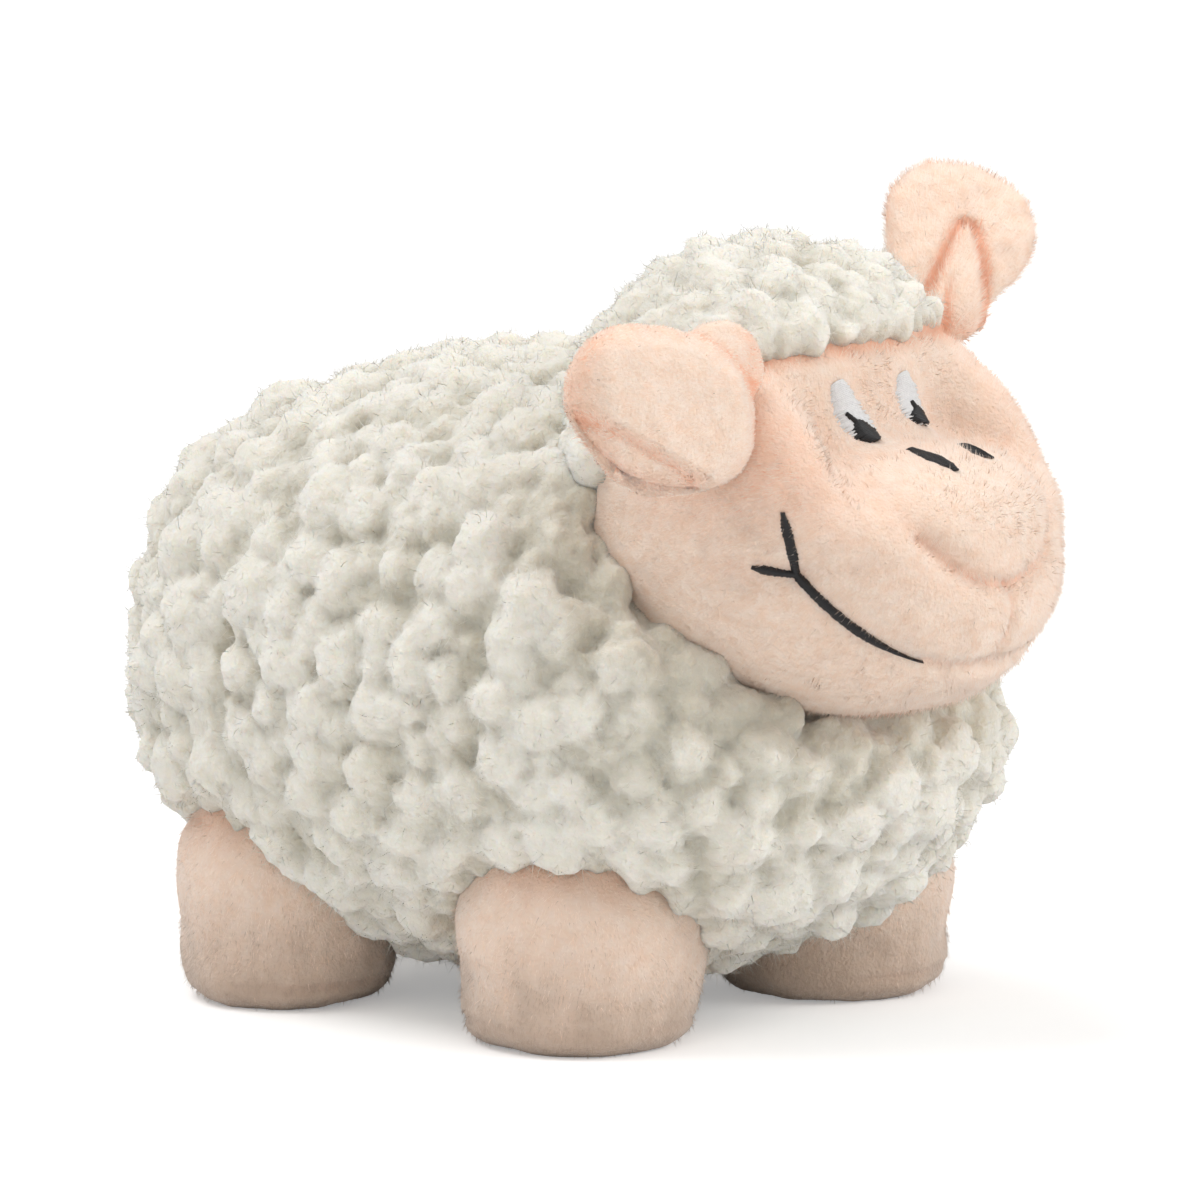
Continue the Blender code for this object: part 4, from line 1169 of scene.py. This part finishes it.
def stitch_row(name, threads, lift, material):
    """Satin stitches, each a thread through its points on the plush, humped in the middle."""
    count, steps, _ = threads.shape
    outward = unit(threads[:, steps // 2] - HEAD_POINT)[:, None]
    side = unit(np.cross(unit(threads[:, -1] - threads[:, 0])[:, None], outward))
    hump = np.sin(np.linspace(0, math.pi, steps))[:, None].clip(0) ** 0.5
    centres = threads + outward * (lift * hump - THREAD_END_SINK * (1 - hump))
    sizes = THREAD_THICKNESS / 2 * (0.55 + 0.45 * hump[..., None])
    turns = np.linspace(0, 2 * math.pi, THREAD_SIDES, endpoint=False)[:, None]
    ring = np.cos(turns) * side[:, :, None] + np.sin(turns) * outward[:, :, None]
    points = (centres[:, :, None] + sizes * ring).reshape(-1, 3)
    return mesh_object(name, points, ring_faces(count, steps, THREAD_SIDES), [material])


def settle(points, tree, lift):
    """Moves points towards the head's axis until they lie on the plush, lifted a little."""
    settled = []
    for point in points:
        outward = unit(point - HEAD_POINT)
        hit, _, _, _ = tree.ray_cast(Vector(HEAD_POINT + outward * 60 * MM), Vector(-outward))
        settled.append((array(hit) if hit else point) + outward * lift)
    return np.array(settled)


def resample(path, pitch):
    """Points at even steps along a path, and their shares of its length."""
    steps = norm(np.diff(path, axis=0))
    run = np.concatenate([[0], np.cumsum(steps)])
    at = np.arange(0, run[-1], pitch)
    return np.stack([np.interp(at, run, path[:, i]) for i in range(3)], axis=1), at / run[-1]


def satin_line(path, row, seed, slant, ragged):
    """Ends of the stitches across a line, as wide as its row in LINE_WIDTHS says."""
    local = np.random.default_rng(seed)
    path, share = resample(path, THREAD_PITCH)
    along = unit(np.gradient(path, axis=0))
    outward = unit(path - HEAD_POINT)
    across = unit(np.cross(outward, along))
    half = LINE_WIDTHS[row](share)[:, None] * MM / 2 * local.uniform(1 - ragged, 1 + ragged, (len(path), 1))
    offset = along * half * slant
    return path - across * half - offset, path + across * half + offset


def embroider(node, tree, lines, slot, lift):
    """One piece of stitching, laid on the plush, in place of its solid."""
    firsts = np.concatenate([pair[0] for pair in lines])[:, None]
    seconds = np.concatenate([pair[1] for pair in lines])[:, None]
    share = np.linspace(0, 1, THREAD_STEPS)[None, :, None]
    points = (firsts + (seconds - firsts) * share).reshape(-1, 3)
    threads = settle(points, tree, SETTLE_LIFT).reshape(-1, THREAD_STEPS, 3)
    piece = stitch_row(f"{node}_stitches", threads, lift, thread_kinds[slot])
    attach(piece, "head")
    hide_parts(node)


def make_side_stitches(side, name, tree):
    """Mouth half, eye white, pupil and nostril of one side."""
    seeds = {"mouth": 80, "eye_white": 90, "pupil": 91, "nostril": 92}
    pieces = {}
    for i, (path, row, node, _) in enumerate(stitch_paths(side, name)):
        slant = 0.3 if node == "eye_white" else 0.25
        ragged = 0.16 if node == "pupil" else 0.12
        pieces.setdefault(node, []).append(satin_line(path, row, seeds[node] + i, slant, ragged))
    for node, lines in pieces.items():
        slot = "white_thread" if node == "eye_white" else "black_thread"
        lift = PUPIL_LIFT if node == "pupil" else STITCH_LIFT
        embroider(f"{node}_{name}", tree, lines, slot, lift)


def make_stitches():
    head = bpy.data.objects["head_plush"]
    corners = [tuple(polygon.vertices) for polygon in head.data.polygons]
    tree = BVHTree.FromPolygons([Vector(point) for point in mesh_points(head)], corners)
    for side, name in SIDES:
        make_side_stitches(side, name, tree)


# Stage


def make_camera():
    camera = add_object("camera", bpy.data.cameras.new("camera"))
    level = math.cos(CAMERA_HEIGHT_ANGLE)
    across, ahead = math.sin(CAMERA_AZIMUTH) * level, -math.cos(CAMERA_AZIMUTH) * level
    back = Vector((across, ahead, math.sin(CAMERA_HEIGHT_ANGLE)))
    camera.location = CAMERA_AIM + back * CAMERA_DISTANCE
    camera.rotation_mode = "QUATERNION"
    camera.rotation_quaternion = (-back).to_track_quat("-Z", "Y")
    camera.data.sensor_width = SENSOR_WIDTH
    camera.data.lens = SENSOR_WIDTH * CAMERA_DISTANCE / CAMERA_WIDTH
    camera.data.clip_start, camera.data.clip_end = 0.1, 30
    bpy.context.scene.camera = camera


def add_lamp(name, place, size, power):
    lamp = add_object(name, bpy.data.lights.new(name, "AREA"))
    lamp.data.shape = "DISK"
    lamp.data.size = size
    lamp.data.energy = power
    lamp.location = place
    lamp.rotation_mode = "QUATERNION"
    lamp.rotation_quaternion = (Vector(place) - CAMERA_AIM).to_track_quat("Z", "Y")
    lamp.visible_camera = False


FLOOR_REACH = 8
FLOOR_GLOW = 0.3
AMBIENT_LIGHT = 0.5
# Place, size and power of each lamp
LAMPS = {
    "key": ((-0.4, 0.5, 1.5), 1.3, 15),
    "front": ((0.9, -1.4, 1.0), 1.3, 16),
    "side": ((-1.5, -0.9, 0.7), 1.4, 3),
}


def make_stage():
    mesh = bpy.data.meshes.new("floor")
    reach = FLOOR_REACH
    corners = [(-reach, -reach, 0), (reach, -reach, 0), (reach, reach, 0), (-reach, reach, 0)]
    mesh.from_pydata(corners, [], [(0, 1, 2, 3)])
    floor = add_object("floor", mesh)
    material, shader = principled("floor", (0.9, 0.9, 0.9), 1.0, specular=0)
    path = add_node(material, "ShaderNodeLightPath")
    glow = add_node(material, "ShaderNodeMath", operation="MULTIPLY")
    glow.inputs[1].default_value = FLOOR_GLOW
    links = material.node_tree.links
    links.new(path.outputs["Is Camera Ray"], glow.inputs[0])
    links.new(glow.outputs[0], shader.inputs["Emission Strength"])
    shader.inputs["Emission Color"].default_value = (1, 1, 1, 1)
    mesh.materials.append(material)

    world = bpy.data.worlds.new("studio")
    bpy.context.scene.world = world
    world.use_nodes = True
    nodes, links = world.node_tree.nodes, world.node_tree.links
    background = nodes["Background"]
    path = nodes.new("ShaderNodeLightPath")
    level = nodes.new("ShaderNodeMapRange")
    level.inputs["To Min"].default_value = AMBIENT_LIGHT
    level.inputs["To Max"].default_value = 1.0
    links.new(path.outputs["Is Camera Ray"], level.inputs["Value"])
    links.new(level.outputs["Result"], background.inputs["Strength"])
    background.inputs["Color"].default_value = (1, 1, 1, 1)

    for name, (place, size, power) in LAMPS.items():
        add_lamp(name, place, size, power)
    bpy.context.scene.view_settings.view_transform = "Standard"


make_camera()
make_stage()
wool_centre, wool_reach = make_body()
make_head(wool_centre, wool_reach)
for leg_name in LEGS:
    make_leg(leg_name)
for ear_name in ("right", "left"):
    make_ear(ear_name)
make_stitches()
